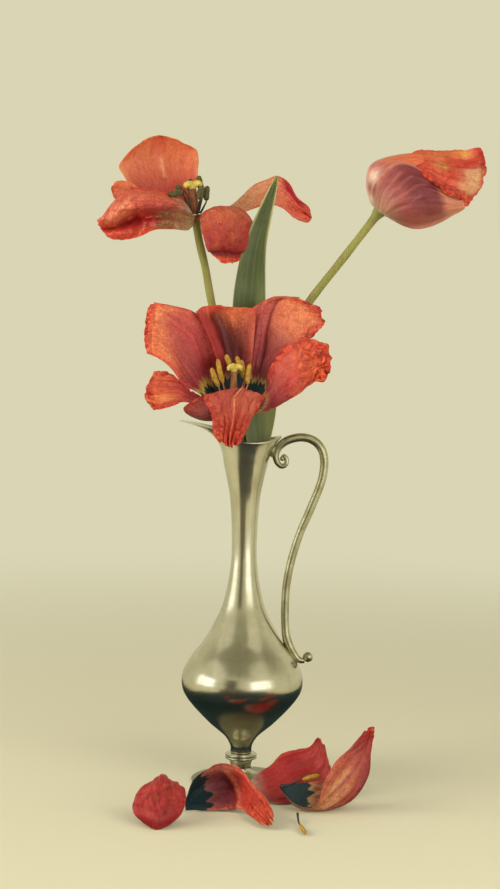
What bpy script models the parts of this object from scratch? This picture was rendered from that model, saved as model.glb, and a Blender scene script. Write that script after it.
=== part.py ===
"""Wilted tulips in a pewter jug vase, with dropped petals and stamens round its foot.

World frame: origin at the centre of the foot's underside, +Z up, -Y is the front.
The pouring lip points to -X and the handle to +X. Lists of points are in millimetres;
MM turns them into metres when a mesh is made.
"""
import math

import bpy
import numpy as np

MM = 0.001
GAP = 0.3               # clearance between pieces that touch, mm

# Vase
WALL = 0.95             # thickness of the pewter wall
RIM_Z = 214.2           # height of the mouth at its front
BODY_BOTTOM_Z = 18.0
FOOT_RADIUS = 31.0
LATHE_SIDES = 28
SPOUT_START_Z = 200.0   # the mouth is round below this height
SPOUT_REACH = 21.0      # how far the lip runs out past the round mouth
SPOUT_RISE = 11.8
SPOUT_HALF_ANGLE = math.radians(30)
TROUGH_HALF_ANGLE = math.radians(50)    # the rim stands high on both sides of the lip
HANDLE_SIDE_REACH = 4.0
HANDLE_SIDE_RISE = 3.0
HANDLE_SIDE_HALF_ANGLE = math.radians(40)
BAR_RADIUS = 2.4        # half thickness of the handle's bar

# Plant
STEM_RADIUS = 2.3
PETAL_THICKNESS = 0.7
LEAF_THICKNESS = 0.8
FILAMENT_RADIUS = 0.6
ANTHER_RADIUS = 1.4

# Shut flower: its axis rises to the right, and its rings lean where the stem bends over
BUD_ORIGIN = np.array((79.0, 5.0, 360.0))
BUD_AXIS_RISE = math.radians(22)
LAYER_STEP = 1.65       # each wrapped petal lies this far inside the one before

PEWTER = ((0.45, 0.42, 0.36), 0.35, 1.0)
STEM_GREEN = ((0.36, 0.37, 0.10), 0.6, 0.0)
LEAF_GREEN = ((0.10, 0.14, 0.06), 0.6, 0.0)
PETAL_RED = ((0.55, 0.09, 0.05), 0.5, 0.0)
PETAL_MAUVE = ((0.35, 0.07, 0.07), 0.5, 0.0)
PETAL_DRY = ((0.62, 0.06, 0.03), 0.6, 0.0)
POLLEN = ((0.50, 0.38, 0.06), 0.7, 0.0)
PISTIL_GREEN = ((0.55, 0.50, 0.12), 0.6, 0.0)


# ---------------------------------------------------------------- helpers

def clear_scene():
    for item in list(bpy.data.objects):
        bpy.data.objects.remove(item, do_unlink=True)


def make_material(name, finish):
    color, roughness, metallic = finish
    material = bpy.data.materials.new(name)
    material.use_nodes = True
    shader = material.node_tree.nodes["Principled BSDF"]
    shader.inputs["Base Color"].default_value = (*color, 1.0)
    shader.inputs["Roughness"].default_value = roughness
    shader.inputs["Metallic"].default_value = metallic
    return material


def add_solid(name, points, faces, finish):
    """Adds a closed body; points are in millimetres."""
    points = np.asarray(points, dtype=float)
    if signed_volume(points, faces) < 0:
        faces = [tuple(reversed(face)) for face in faces]
    mesh = bpy.data.meshes.new(name)
    mesh.from_pydata((points * MM).tolist(), [], faces)
    mesh.update()
    mesh.shade_smooth()
    mesh.set_sharp_from_angle(angle=math.radians(40))
    mesh.materials.append(make_material(name, finish))
    solid = bpy.data.objects.new(name, mesh)
    bpy.context.scene.collection.objects.link(solid)
    return solid


def signed_volume(points, faces):
    total = 0.0
    for face in faces:
        for second, third in zip(face[1:], face[2:]):
            total += np.dot(points[face[0]], np.cross(points[second], points[third]))
    return total / 6.0


def smooth_step(value):
    value = min(max(value, 0.0), 1.0)
    return value * value * (3.0 - 2.0 * value)


def through(points, count):
    """Evenly stepped samples of the smooth curve that passes through the points."""
    points = np.asarray(points, dtype=float)
    before = 2 * points[:1] - points[1:2]
    after = 2 * points[-1:] - points[-2:-1]
    padded = np.concatenate((before, points, after))
    samples = []
    for place in np.linspace(0, len(points) - 1, count):
        index = min(int(place), len(points) - 2)
        f = place - index
        a, b, c, d = padded[index:index + 4]
        samples.append(0.5 * (2 * b + (c - a) * f + (2 * a - 5 * b + 4 * c - d) * f ** 2
                              + (3 * b - a - 3 * c + d) * f ** 3))
    return np.array(samples)


def surface_through(net, along, across):
    """Grid of points on the smooth surface through a net of rows of points."""
    net = np.asarray(net, dtype=float)
    columns = [through(net[:, column], along) for column in range(net.shape[1])]
    columns = np.array(columns).transpose(1, 0, 2)
    return np.array([through(row, across) for row in columns])


def grid_normals(grid):
    tangents = np.gradient(grid, axis=0)
    sideways = np.gradient(grid, axis=1)
    normals = np.cross(tangents, sideways)
    return normals / np.linalg.norm(normals, axis=2, keepdims=True)


def add_sheet(name, grid, thickness, finish):
    """A thin closed body on both sides of a grid of points."""
    normals = grid_normals(grid)
    rows, columns = grid.shape[:2]
    top = grid + normals * thickness / 2
    bottom = grid - normals * thickness / 2
    points = np.concatenate((top.reshape(-1, 3), bottom.reshape(-1, 3)))
    under = rows * columns
    faces = []
    for i in range(rows - 1):
        for j in range(columns - 1):
            a = i * columns + j
            faces.append((a, a + 1, a + columns + 1, a + columns))
            faces.append((a + under, a + columns + under, a + columns + 1 + under, a + 1 + under))
    border = [j for j in range(columns)]
    border += [i * columns + columns - 1 for i in range(1, rows)]
    border += [(rows - 1) * columns + j for j in range(columns - 2, -1, -1)]
    border += [i * columns for i in range(rows - 2, 0, -1)]
    for first, second in zip(border, border[1:] + border[:1]):
        faces.append((second, first, first + under, second + under))
    return add_solid(name, points, faces, finish)


def sheet_bottom(grid, thickness):
    """Lowest height that a sheet on this grid reaches."""
    offset = grid_normals(grid) * thickness / 2
    return min((grid + offset)[..., 2].min(), (grid - offset)[..., 2].min())


def add_tube(name, path, radii, finish, stations=16, sides=6):
    """A round body along a smooth path; radii are given at the path's own points."""
    centers = through(path, stations)
    radius = through(np.array(radii, dtype=float)[:, None], stations)[:, 0]
    tangents = np.gradient(centers, axis=0)
    tangents /= np.linalg.norm(tangents, axis=1, keepdims=True)
    side = np.cross(tangents[0], (0.31, 0.95, 0.05))
    points = []
    for center, tangent, r in zip(centers, tangents, radius):
        side = side - tangent * np.dot(side, tangent)
        side /= np.linalg.norm(side)
        other = np.cross(tangent, side)
        for k in range(sides):
            angle = 2 * math.pi * k / sides
            points.append(center + r * (math.cos(angle) * side + math.sin(angle) * other))
    faces = [tuple(reversed(range(sides)))]
    for i in range(stations - 1):
        for k in range(sides):
            a = i * sides + k
            b = i * sides + (k + 1) % sides
            faces.append((a, b, b + sides, a + sides))
    last = (stations - 1) * sides
    faces.append(tuple(range(last, last + sides)))
    return add_solid(name, points, faces, finish)


def add_turned(name, profile, finish, warp=None):
    """A turned body. The profile starts and ends on the axis."""
    points = [(0.0, 0.0, profile[0][1])]
    for r, z in profile[1:-1]:
        for k in range(LATHE_SIDES):
            angle = 2 * math.pi * k / LATHE_SIDES
            point = (r * math.cos(angle), r * math.sin(angle), z)
            points.append(warp(point) if warp else point)
    points.append((0.0, 0.0, profile[-1][1]))
    faces = []
    rings = len(profile) - 2
    last = len(points) - 1
    for k in range(LATHE_SIDES):
        after = (k + 1) % LATHE_SIDES
        faces.append((0, 1 + after, 1 + k))
        for ring in range(rings - 1):
            a = 1 + ring * LATHE_SIDES
            b = a + LATHE_SIDES
            faces.append((a + k, a + after, b + after, b + k))
        a = 1 + (rings - 1) * LATHE_SIDES
        faces.append((a + k, a + after, last))
    return add_solid(name, points, faces, finish)


# ---------------------------------------------------------------- vase

# Radius and height of the wall's outer side, from the collar to the mouth
BODY_PROFILE = [
    (6.6, BODY_BOTTOM_Z), (6.9, 22.5), (10.0, 28.0), (15.5, 33.0), (21.2, 38.0), (31.1, 48.5),
    (36.6, 56.5), (38.0, 63.5), (36.6, 71.0), (32.0, 79.0), (24.5, 89.0), (18.6, 99.5),
    (13.9, 109.5), (11.1, 119.5), (9.1, 130.0), (7.9, 143.0), (8.1, 160.0), (9.3, 178.0),
    (11.4, 190.0), (13.7, 200.0), (14.8, 204.0), (15.7, 207.5), (16.6, 210.5), (17.3, 212.6),
    (17.8, RIM_Z - 0.4),
]
HOLLOW_BOTTOM_Z = 31.0


def mouth_shape(point):
    """Draws the lip out to -X and lifts the rim a little where the handle joins."""
    x, y, z = point
    lift = (z - SPOUT_START_Z) / (RIM_Z - SPOUT_START_Z)
    if lift <= 0:
        return point
    r = math.hypot(x, y)
    angle = math.atan2(y, x)
    to_lip = math.pi - abs(angle)
    lip = math.exp(-(to_lip / SPOUT_HALF_ANGLE) ** 2)
    trough = math.exp(-(to_lip / TROUGH_HALF_ANGLE) ** 2)
    grip = math.exp(-(angle / HANDLE_SIDE_HALF_ANGLE) ** 2)
    early = 1 - max(1 - lift, 0.0) ** 1.6
    reach = SPOUT_REACH * lip * lift ** 3 + HANDLE_SIDE_REACH * grip * lift ** 3
    rise = SPOUT_RISE * trough * early + HANDLE_SIDE_RISE * grip * lift ** 2
    return ((r + reach) * math.cos(angle), (r + reach) * math.sin(angle), z + rise)


def make_vase():
    outer = [(0.0, BODY_BOTTOM_Z)] + BODY_PROFILE
    inner = [(r - WALL, z) for r, z in BODY_PROFILE if z > HOLLOW_BOTTOM_Z + 1.5]
    rim = [(BODY_PROFILE[-1][0] - WALL / 2, RIM_Z)]
    floor = [(8.0, HOLLOW_BOTTOM_Z + 0.6), (0.0, HOLLOW_BOTTOM_Z)]
    add_turned("vase_body", outer + rim + inner[::-1] + floor, PEWTER, mouth_shape)

    collar_z = BODY_BOTTOM_Z - GAP
    foot = [(0.0, 0.0), (FOOT_RADIUS, 0.0), (FOOT_RADIUS, 1.2), (28.5, 2.2), (19.0, 3.2),
            (11.0, 4.4), (7.2, 6.2), (6.2, 8.4), (6.6, 10.8), (7.6, 13.2), (9.9, 14.4),
            (9.9, 16.8), (8.6, collar_z), (0.0, collar_z)]
    add_turned("vase_foot", foot, PEWTER)


def make_handle():
    """One bar: scroll under the rim, arch, long curve, and the curl on the shoulder."""
    path = [(22.3, 203.6), (23.6, 205.4), (25.4, 203.6), (25.0, 200.4), (22.4, 199.2),
            (19.6, 201.6), (18.6, 206.0), (20.6, 210.8), (25.8, 214.5), (34.0, 216.3),
            (41.5, 214.8), (46.6, 210.2), (48.8, 204.0), (48.4, 195.0), (46.4, 187.0),
            (43.2, 178.5), (39.4, 169.0), (35.2, 159.0), (31.6, 148.0), (28.6, 136.0),
            (26.6, 123.0), (26.2, 110.0), (27.0, 99.0), (28.9, 91.0), (31.6, 85.2),
            (34.9, 80.6), (38.2, 78.4), (41.0, 79.4), (41.6, 81.2)]
    radii = [0.9, 1.3, 1.4, 1.4, 1.5, 1.7, 2.0, 2.3] + [BAR_RADIUS] * 16 + [2.3, 2.1, 1.7, 1.8, 1.2]
    points = [(x, 0.0, z) for x, z in path]
    add_tube("handle", points, radii, PEWTER, stations=60, sides=8)


# ---------------------------------------------------------------- stems, leaf, stamens

STEM_PATHS = {
    "stem_left": [(0.0, 12.0, 38), (0.0, 6.0, 95), (0.0, 4.1, 146), (-0.3, 5.0, 180),
                  (-2.2, 10.0, 214), (-7.0, 15.5, 240), (-14.5, 19.5, 268), (-22.5, 21.0, 297),
                  (-27.5, 22.0, 322), (-31.5, 22.0, 338), (-33.6, 22.2, 350), (-34.2, 22.0, 354.4)],
    "stem_center": [(-11.0, 5.0, 38), (-5.5, 2.2, 95), (-4.1, 1.2, 146), (-5.0, -1.0, 180),
                    (-7.4, -6.5, 212), (-8.0, -9.4, 225), (-8.0, -10.5, 229), (-8.0, -12.4, 232.2)],
    "stem_right": [(11.0, 5.0, 38), (5.5, 2.2, 95), (4.1, 1.2, 146), (4.4, 3.2, 180),
                   (6.0, 10.5, 214), (10.5, 17.0, 238), (18.0, 18.5, 262), (27.5, 15.0, 284),
                   (39.0, 10.0, 303), (55.5, 6.0, 325), (69.5, 5.0, 343.5), (76.5, 5.0, 353.2),
                   (80.0, 5.0, 357.8)],
}

# Left edge, rib and right edge of the leaf, from its end in the neck to its tip
LEAF_NET = [
    [(2.9, -5.6, 172), (5.4, -4.0, 172), (6.6, -1.2, 172)],
    [(3.4, -3.8, 190), (7.0, -0.8, 190), (8.8, -3.6, 190)],
    [(0.5, 2.4, 214), (8.5, 6.0, 214), (15.2, 0.6, 215)],
    [(-4.0, 9.5, 238), (6.0, 13.0, 238), (18.8, 9.0, 238)],
    [(-8.0, 12.0, 262), (3.0, 16.0, 262), (16.5, 12.0, 262)],
    [(-10.0, 12.0, 288), (0.5, 15.5, 288), (11.5, 12.0, 288)],
    [(-8.8, 10.0, 310), (1.5, 13.0, 310), (10.6, 10.0, 310)],
    [(-4.2, 8.5, 334), (4.0, 11.0, 334), (10.6, 8.5, 334)],
    [(3.5, 8.0, 354), (9.0, 9.8, 354), (13.8, 8.0, 354)],
    [(11.0, 8.0, 370), (14.0, 8.8, 370), (16.6, 8.0, 370)],
    [(15.8, 8.0, 378.5), (16.5, 8.2, 379), (17.2, 8.0, 378.5)],
]


def make_stems_and_leaf():
    for name, path in STEM_PATHS.items():
        radii = [STEM_RADIUS] * (len(path) - 2) + [STEM_RADIUS * 1.15, RECEPTACLE_RADIUS]
        add_tube(name, path, radii, STEM_GREEN, stations=17, sides=8)
    grid = surface_through(LEAF_NET, 15, 5)
    add_sheet("leaf", grid, LEAF_THICKNESS, LEAF_GREEN)


def make_stamen(name, foot, bend, shoulder, tip):
    """Thin filament up to the shoulder, then the pollen sac to the tip."""
    foot, bend, shoulder, tip = (np.array(p, dtype=float) for p in (foot, bend, shoulder, tip))
    waist = shoulder + (tip - shoulder) * 0.12
    path = [foot, bend, shoulder, waist, (waist + tip) / 2, tip]
    radii = [FILAMENT_RADIUS, FILAMENT_RADIUS, FILAMENT_RADIUS, ANTHER_RADIUS * 0.9,
             ANTHER_RADIUS, FILAMENT_RADIUS]
    add_tube(name, path, radii, POLLEN, stations=8, sides=5)


def make_pistil(name, foot, head):
    foot, head = np.array(foot, dtype=float), np.array(head, dtype=float)
    path = [foot + (head - foot) * f for f in (0.0, 0.35, 0.7, 0.85, 1.0)]
    add_tube(name, path, [OVARY_RADIUS, 2.2, 1.9, 3.6, 2.6], PISTIL_GREEN, stations=9)


# ---------------------------------------------------------------- open flowers

# Top of each receptacle and the way its flower faces
CENTER_SEAT = ((-8.0, -12.4, 232.2), (0.0, -0.5, 0.87))
LEFT_SEAT = ((-34.2, 22.0, 354.4), (-0.12, -0.1, 0.98))
RECEPTACLE_RADIUS = 4.3
RECEPTACLE_TAPER = 0.3
PETAL_BASE_HALF_WIDTH = 2.4
OUTER_WHORL_DROP = 1.5  # the outer petals leave the receptacle this far below the inner ones

# Each open petal: degrees round its receptacle, whorl, then rows of points from near the
# base to the tip. A row holds the edge on the anticlockwise side, the rib, the other edge.
INNER, OUTER = 0.0, OUTER_WHORL_DROP
CENTER_PETALS = {
    "center_petal_1": (150, OUTER, [
        [(-22.0, -12.0, 240.5), (-19.0, -6.0, 246.0), (-15.0, -0.5, 250.0)],
        [(-34.0, -13.0, 249.5), (-29.5, -5.0, 258.0), (-21.5, 2.5, 266.0)],
        [(-45.0, -12.0, 259.2), (-41.5, -5.5, 271.0), (-29.5, 2.0, 285.0)],
        [(-54.5, -12.0, 266.2), (-54.0, -7.5, 280.5), (-40.5, -1.0, 295.5)],
        [(-62.5, -12.5, 269.5), (-64.0, -9.5, 284.5), (-58.5, -5.0, 299.5)],
    ]),
    "center_petal_2": (90, INNER, [
        [(-17.5, -8.0, 247.5), (-9.0, -1.0, 246.0), (0.0, -6.5, 248.0)],
        [(-22.0, -7.0, 263.0), (-10.5, 5.0, 261.0), (4.2, -3.0, 262.0)],
        [(-25.5, -6.5, 279.0), (-12.5, 7.5, 277.5), (4.0, -1.5, 279.0)],
        [(-32.0, -6.5, 290.5), (-15.0, 7.0, 292.0), (4.0, -1.5, 292.0)],
        [(-30.0, -5.0, 297.0), (-15.5, 4.0, 299.6), (3.0, -1.0, 299.0)],
    ]),
    "center_petal_3": (30, OUTER, [
        [(2.0, 0.5, 248.5), (7.0, -3.0, 246.0), (9.5, -8.5, 243.5)],
        [(4.0, 4.5, 262.5), (11.0, 1.5, 260.0), (18.0, -7.0, 256.0)],
        [(2.5, 6.5, 280.0), (14.5, 3.0, 276.0), (28.0, -7.0, 267.5)],
        [(4.0, 6.5, 298.0), (22.0, 1.5, 290.5), (38.0, -8.5, 278.0)],
        [(20.0, 3.0, 303.6), (34.0, -2.0, 297.5), (45.5, -9.5, 284.5)],
        [(35.0, -1.5, 303.8), (42.5, -5.5, 298.5), (48.0, -9.5, 290.5)],
    ]),
    "center_petal_4": (-30, INNER, [
        [(6.0, -12.0, 244.5), (5.0, -17.0, 238.0), (2.5, -20.0, 234.5)],
        [(15.0, -13.0, 255.0), (14.0, -20.5, 246.0), (12.0, -24.0, 235.5)],
        [(23.0, -16.0, 267.0), (25.0, -25.0, 254.0), (23.5, -27.0, 239.5)],
        [(32.0, -20.0, 273.5), (36.0, -30.0, 261.0), (34.0, -29.5, 247.5)],
        [(41.5, -24.0, 276.0), (46.0, -31.0, 263.5), (42.5, -29.0, 252.5)],
        [(48.5, -25.0, 270.0), (52.5, -28.5, 262.5), (49.5, -27.5, 254.5)],
    ]),
    "center_petal_5": (-90, OUTER, [
        [(1.5, -22.0, 230.5), (-9.5, -25.0, 226.6), (-28.0, -20.0, 228.4)],
        [(7.5, -28.5, 237.0), (-12.0, -33.0, 231.0), (-39.0, -26.5, 234.5)],
        [(10.5, -34.0, 245.0), (-8.5, -38.5, 246.0), (-30.5, -34.5, 239.5)],
        [(10.0, -39.5, 243.0), (-8.5, -43.0, 244.0), (-26.0, -39.0, 238.0)],
        [(2.5, -42.0, 228.0), (-10.0, -44.0, 228.0), (-21.5, -40.5, 226.0)],
        [(-3.5, -40.5, 217.0), (-10.5, -42.0, 216.0), (-18.5, -39.5, 217.0)],
        [(-7.0, -39.8, 212.4), (-10.5, -40.5, 211.6), (-14.0, -39.5, 212.4)],
    ]),
    "center_petal_6": (210, INNER, [
        [(-19.0, -24.0, 237.6), (-20.5, -20.0, 237.0), (-21.0, -16.0, 238.6)],
        [(-28.5, -28.5, 240.8), (-30.0, -23.5, 241.0), (-31.0, -17.5, 244.5)],
        [(-38.5, -30.5, 240.4), (-41.0, -27.0, 247.5), (-42.0, -18.5, 252.0)],
        [(-48.5, -30.5, 236.5), (-52.5, -29.0, 248.5), (-51.0, -20.0, 257.5)],
        [(-58.0, -27.5, 234.0), (-63.0, -27.0, 246.5), (-59.0, -21.5, 256.0)],
    ]),
}

LEFT_PETALS = {
    "left_petal_1": (98, INNER, [
        [(-52.0, 27.0, 362.0), (-45.0, 31.0, 367.0), (-36.0, 28.0, 366.5)],
        [(-68.0, 27.5, 369.0), (-54.0, 33.5, 378.0), (-35.0, 30.0, 377.5)],
        [(-79.0, 27.5, 376.5), (-60.0, 33.5, 388.5), (-33.2, 30.0, 387.0)],
        [(-82.5, 26.0, 385.5), (-59.5, 31.0, 397.0), (-33.8, 28.0, 394.5)],
        [(-70.5, 25.5, 396.5), (-57.0, 27.0, 402.8), (-43.0, 26.0, 399.5)],
    ]),
    "left_petal_2": (160, OUTER, [
        [(-53.0, 22.0, 359.0), (-54.0, 25.5, 355.0), (-52.5, 24.5, 350.0)],
        [(-70.0, 23.0, 368.0), (-71.0, 27.5, 360.0), (-68.0, 25.0, 352.0)],
        [(-82.0, 24.0, 374.5), (-86.0, 27.0, 367.0), (-83.0, 25.5, 359.0)],
        [(-86.0, 24.0, 373.0), (-88.5, 25.0, 368.0), (-87.0, 25.0, 362.5)],
    ]),
    "left_petal_3": (222, INNER, [
        [(-46.5, 18.0, 365.5), (-48.0, 9.5, 356.0), (-46.0, 15.0, 345.0)],
        [(-58.0, 18.0, 368.0), (-60.5, 5.5, 356.0), (-58.0, 15.0, 344.0)],
        [(-72.0, 18.0, 367.5), (-76.0, 7.0, 355.0), (-69.5, 14.0, 340.5)],
        [(-86.5, 19.0, 361.5), (-90.0, 11.0, 350.0), (-81.5, 15.0, 338.4)],
        [(-94.0, 19.5, 352.5), (-95.5, 17.0, 347.0), (-91.5, 18.0, 341.5)],
    ]),
    "left_petal_4": (-55, INNER, [
        [(-12.5, 16.0, 359.5), (-22.0, 9.5, 358.5), (-31.0, 8.5, 350.0)],
        [(-2.5, 12.8, 355.0), (-17.5, 1.5, 352.5), (-29.5, 4.5, 342.0)],
        [(-0.4, 9.0, 346.0), (-14.5, -1.5, 342.5), (-28.0, 3.5, 335.0)],
        [(-4.0, 6.5, 336.0), (-14.5, 0.5, 333.0), (-26.0, 4.5, 330.5)],
        [(-7.0, 6.0, 326.5), (-13.5, 3.5, 325.0), (-20.0, 5.0, 326.0)],
    ]),
    "left_petal_5": (35, OUTER, [
        [(-18.0, 31.0, 357.5), (-17.5, 29.5, 353.5), (-17.0, 27.0, 349.5)],
        [(-7.5, 34.0, 363.0), (-5.0, 31.0, 357.0), (-4.0, 26.0, 351.0)],
        [(3.0, 36.0, 373.2), (4.0, 31.0, 366.0), (5.0, 25.0, 357.0)],
        [(14.5, 35.0, 380.0), (15.5, 29.0, 372.5), (15.5, 22.5, 361.0)],
        [(26.0, 31.0, 374.5), (25.5, 26.0, 368.5), (24.5, 21.0, 357.5)],
        [(35.0, 28.0, 363.5), (33.5, 24.0, 358.0), (31.5, 20.5, 351.5)],
        [(39.8, 26.0, 354.0), (39.4, 24.0, 351.6), (38.4, 22.5, 349.8)],
    ]),
}

# Each stamen: degrees round the receptacle, then bend, shoulder and tip
STAMEN_RING_RADIUS = 3.3
CENTER_STAMENS = [
    (200, (-14.5, -17.0, 244.0), (-16.0, -19.0, 248.5), (-20.0, -20.0, 260.5)),
    (155, (-13.0, -12.6, 245.0), (-14.5, -13.0, 250.0), (-16.8, -12.0, 264.5)),
    (110, (-10.4, -8.6, 248.0), (-10.8, -8.2, 254.0), (-12.2, -7.0, 268.5)),
    (60, (-5.2, -9.6, 246.0), (-4.2, -9.6, 252.0), (-6.2, -7.6, 267.0)),
    (15, (-2.0, -12.6, 244.0), (-0.4, -13.6, 249.0), (-2.6, -13.0, 263.0)),
    (-35, (-4.0, -18.0, 243.0), (-2.0, -19.8, 247.0), (0.8, -20.0, 260.0)),
]
LEFT_STAMENS = [
    (225, (-38.6, 17.4, 366.0), (-40.2, 16.6, 369.6), (-46.6, 15.4, 369.2)),
    (170, (-40.6, 21.6, 364.0), (-41.8, 21.4, 366.0), (-45.8, 20.6, 373.0)),
    (115, (-36.6, 26.6, 364.0), (-36.8, 26.8, 367.0), (-38.0, 26.6, 377.0)),
    (55, (-30.4, 25.2, 364.0), (-29.8, 25.4, 368.0), (-32.6, 25.6, 379.0)),
    (-5, (-28.6, 20.4, 360.0), (-27.4, 20.0, 362.6), (-26.8, 19.6, 372.5)),
    (-65, (-32.0, 17.2, 361.0), (-31.4, 16.6, 363.0), (-30.4, 15.8, 372.0)),
]
OVARY_RADIUS = 1.7
CENTER_STIGMA = (-8.6, -17.0, 262.0)
LEFT_STIGMA = (-36.4, 21.4, 376.0)


def around(seat, degrees, radius, lift):
    """Point beside a receptacle, at an angle round its axis."""
    top, axis = (np.array(part, dtype=float) for part in seat)
    axis /= np.linalg.norm(axis)
    back = np.cross(axis, (1.0, 0.0, 0.0))
    back /= np.linalg.norm(back)
    right = np.cross(back, axis)
    angle = math.radians(degrees)
    return top + radius * (math.cos(angle) * right + math.sin(angle) * back) + lift * axis


def base_row(seat, degrees, drop):
    """First row of a petal, one gap off the side of the receptacle."""
    radius = RECEPTACLE_RADIUS + PETAL_THICKNESS / 2 + GAP - RECEPTACLE_TAPER * drop
    half_turn = math.degrees(PETAL_BASE_HALF_WIDTH / radius)
    return [around(seat, degrees + turn, radius, -drop) for turn in (half_turn, 0, -half_turn)]


def add_petals(petals, seat, finishes, along=8, across=6):
    for name, (degrees, drop, rows) in petals.items():
        grid = surface_through([base_row(seat, degrees, drop)] + rows, along, across)
        add_sheet(name, grid, PETAL_THICKNESS, finishes.get(name, PETAL_RED))


def foot_on(seat, degrees, ring_radius, foot_radius, toward):
    """Where a leaning stalk stands so that the low side of its foot keeps the gap."""
    foot = around(seat, degrees, ring_radius, GAP)
    axis = np.array(seat[1]) / np.linalg.norm(seat[1])
    lean = (np.array(toward) - foot) / np.linalg.norm(np.array(toward) - foot)
    return foot + axis * foot_radius * np.linalg.norm(np.cross(axis, lean))


def add_stamens(prefix, stamens, seat):
    for number, (degrees, *points) in enumerate(stamens, start=1):
        foot = foot_on(seat, degrees, STAMEN_RING_RADIUS, FILAMENT_RADIUS, points[0])
        make_stamen(f"{prefix}_stamen_{number}", foot, *points)


def make_open_flowers():
    add_petals(CENTER_PETALS, CENTER_SEAT, {"center_petal_4": PETAL_DRY,
                                            "center_petal_6": PETAL_DRY})
    add_petals(LEFT_PETALS, LEFT_SEAT, {"left_petal_3": PETAL_MAUVE})
    add_stamens("center", CENTER_STAMENS, CENTER_SEAT)
    add_stamens("left", LEFT_STAMENS, LEFT_SEAT)
    for name, seat, head in (("center_pistil", CENTER_SEAT, CENTER_STIGMA),
                             ("left_pistil", LEFT_SEAT, LEFT_STIGMA)):
        make_pistil(name, foot_on(seat, 0, 0.0, OVARY_RADIUS, head), head)


# ---------------------------------------------------------------- fallen pieces

# Rows of one edge, the rib and the other edge; each petal is lowered until it touches z = 0
FALLEN_PETALS = {
    "fallen_petal_1": [
        [(-55.0, -112.0, 2.0), (-47.5, -120.5, 1.0), (-40.0, -113.0, 2.0)],
        [(-59.5, -108.0, 7.0), (-48.0, -121.0, 8.0), (-35.0, -108.0, 7.0)],
        [(-59.5, -104.0, 13.0), (-47.5, -115.0, 16.0), (-32.5, -102.0, 14.0)],
        [(-55.0, -98.0, 20.5), (-46.0, -104.0, 25.0), (-34.0, -97.0, 20.0)],
        [(-52.5, -91.0, 19.0), (-45.5, -92.0, 26.0), (-37.5, -90.0, 18.0)],
        [(-53.0, -86.0, 10.0), (-46.0, -84.0, 13.0), (-39.0, -85.0, 9.0)],
    ],
    "fallen_petal_2": [
        [(-31.5, -82.0, 9.0), (-32.5, -80.0, 5.0), (-32.0, -83.0, 1.5)],
        [(-28.0, -78.0, 18.0), (-27.0, -69.0, 9.0), (-26.0, -79.0, 0.8)],
        [(-20.0, -76.0, 25.0), (-17.0, -61.0, 12.0), (-15.0, -78.0, 0.6)],
        [(-10.0, -76.0, 27.5), (-7.0, -60.0, 13.0), (-4.0, -79.0, 0.6)],
        [(-1.0, -80.0, 25.5), (3.0, -73.0, 14.0), (2.0, -84.0, 2.5)],
        [(8.0, -89.0, 19.0), (9.0, -93.0, 9.5), (3.0, -95.0, 4.5)],
        [(15.5, -99.0, 12.5), (14.0, -106.0, 6.5), (8.0, -107.0, 3.0)],
        [(18.5, -113.0, 5.5), (15.5, -118.0, 3.6), (11.0, -118.0, 1.2)],
    ],
    "fallen_petal_3": [
        [(11.0, -38.0, 12.5), (9.0, -44.0, 7.5), (15.0, -52.0, 3.5)],
        [(17.0, -29.0, 17.0), (18.0, -46.0, 2.5), (24.0, -60.0, 2.0)],
        [(27.0, -23.0, 25.0), (29.0, -41.0, 4.0), (34.0, -60.0, 2.5)],
        [(37.5, -24.0, 28.0), (41.0, -38.0, 10.0), (44.0, -55.0, 5.0)],
        [(47.5, -31.0, 34.5), (51.0, -38.0, 25.0), (54.0, -45.0, 17.0)],
    ],
    "fallen_petal_4": [
        [(24.0, -66.5, 14.0), (24.0, -68.5, 12.5), (24.5, -70.5, 11.5)],
        [(33.0, -64.0, 14.0), (32.5, -71.0, 3.0), (33.0, -77.0, 5.0)],
        [(43.0, -62.0, 14.5), (43.0, -71.0, 0.8), (42.5, -79.0, 4.0)],
        [(55.0, -59.0, 16.5), (54.5, -71.0, 0.8), (46.5, -81.0, 9.0)],
        [(66.0, -58.0, 22.0), (67.0, -69.0, 6.0), (50.0, -80.5, 20.0)],
        [(72.0, -57.0, 32.0), (76.0, -66.0, 19.0), (57.0, -76.0, 31.0)],
        [(72.5, -58.0, 40.0), (77.5, -64.0, 31.0), (63.5, -71.0, 40.0)],
        [(75.5, -60.5, 47.0), (77.0, -62.0, 45.0), (72.0, -65.0, 46.0)],
    ],
}
FALLEN_STAMENS = [
    [(23.8, -70.5, 13.9), (30.0, -66.5, 14.5), (36.5, -63.0, 16.0), (48.0, -61.5, 18.6)],
    [(34.0, -94.0, 4.0), (34.2, -102.0, 2.4), (34.8, -111.0, 1.8), (37.8, -129.0, 1.6)],
]


def make_fallen_pieces():
    for name, net in FALLEN_PETALS.items():
        grid = surface_through(net, 8, 6)
        grid[..., 2] -= sheet_bottom(grid, PETAL_THICKNESS)
        add_sheet(name, grid, PETAL_THICKNESS, PETAL_DRY if name == "fallen_petal_1" else PETAL_RED)
    for number, points in enumerate(FALLEN_STAMENS, start=1):
        make_stamen(f"fallen_stamen_{number}", *points)


# ---------------------------------------------------------------- shut flower

# Along the axis, offset of the ring's centre towards the top, ring radius, ring lean
BUD_RINGS = [
    (0.5, -2.0, 4.6, 0.5), (2.0, 2.0, 11.0, 0.4), (6.0, 4.7, 20.1, 0.3), (15.0, 3.3, 23.3, 0.15),
    (27.0, 1.9, 23.8, 0.05), (39.0, 2.2, 22.4, 0.0), (50.0, 1.4, 20.6, 0.0),
    (58.0, 1.8, 17.2, 0.0), (65.0, 2.8, 13.6, 0.0), (72.5, 4.8, 9.5, 0.0),
]

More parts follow.
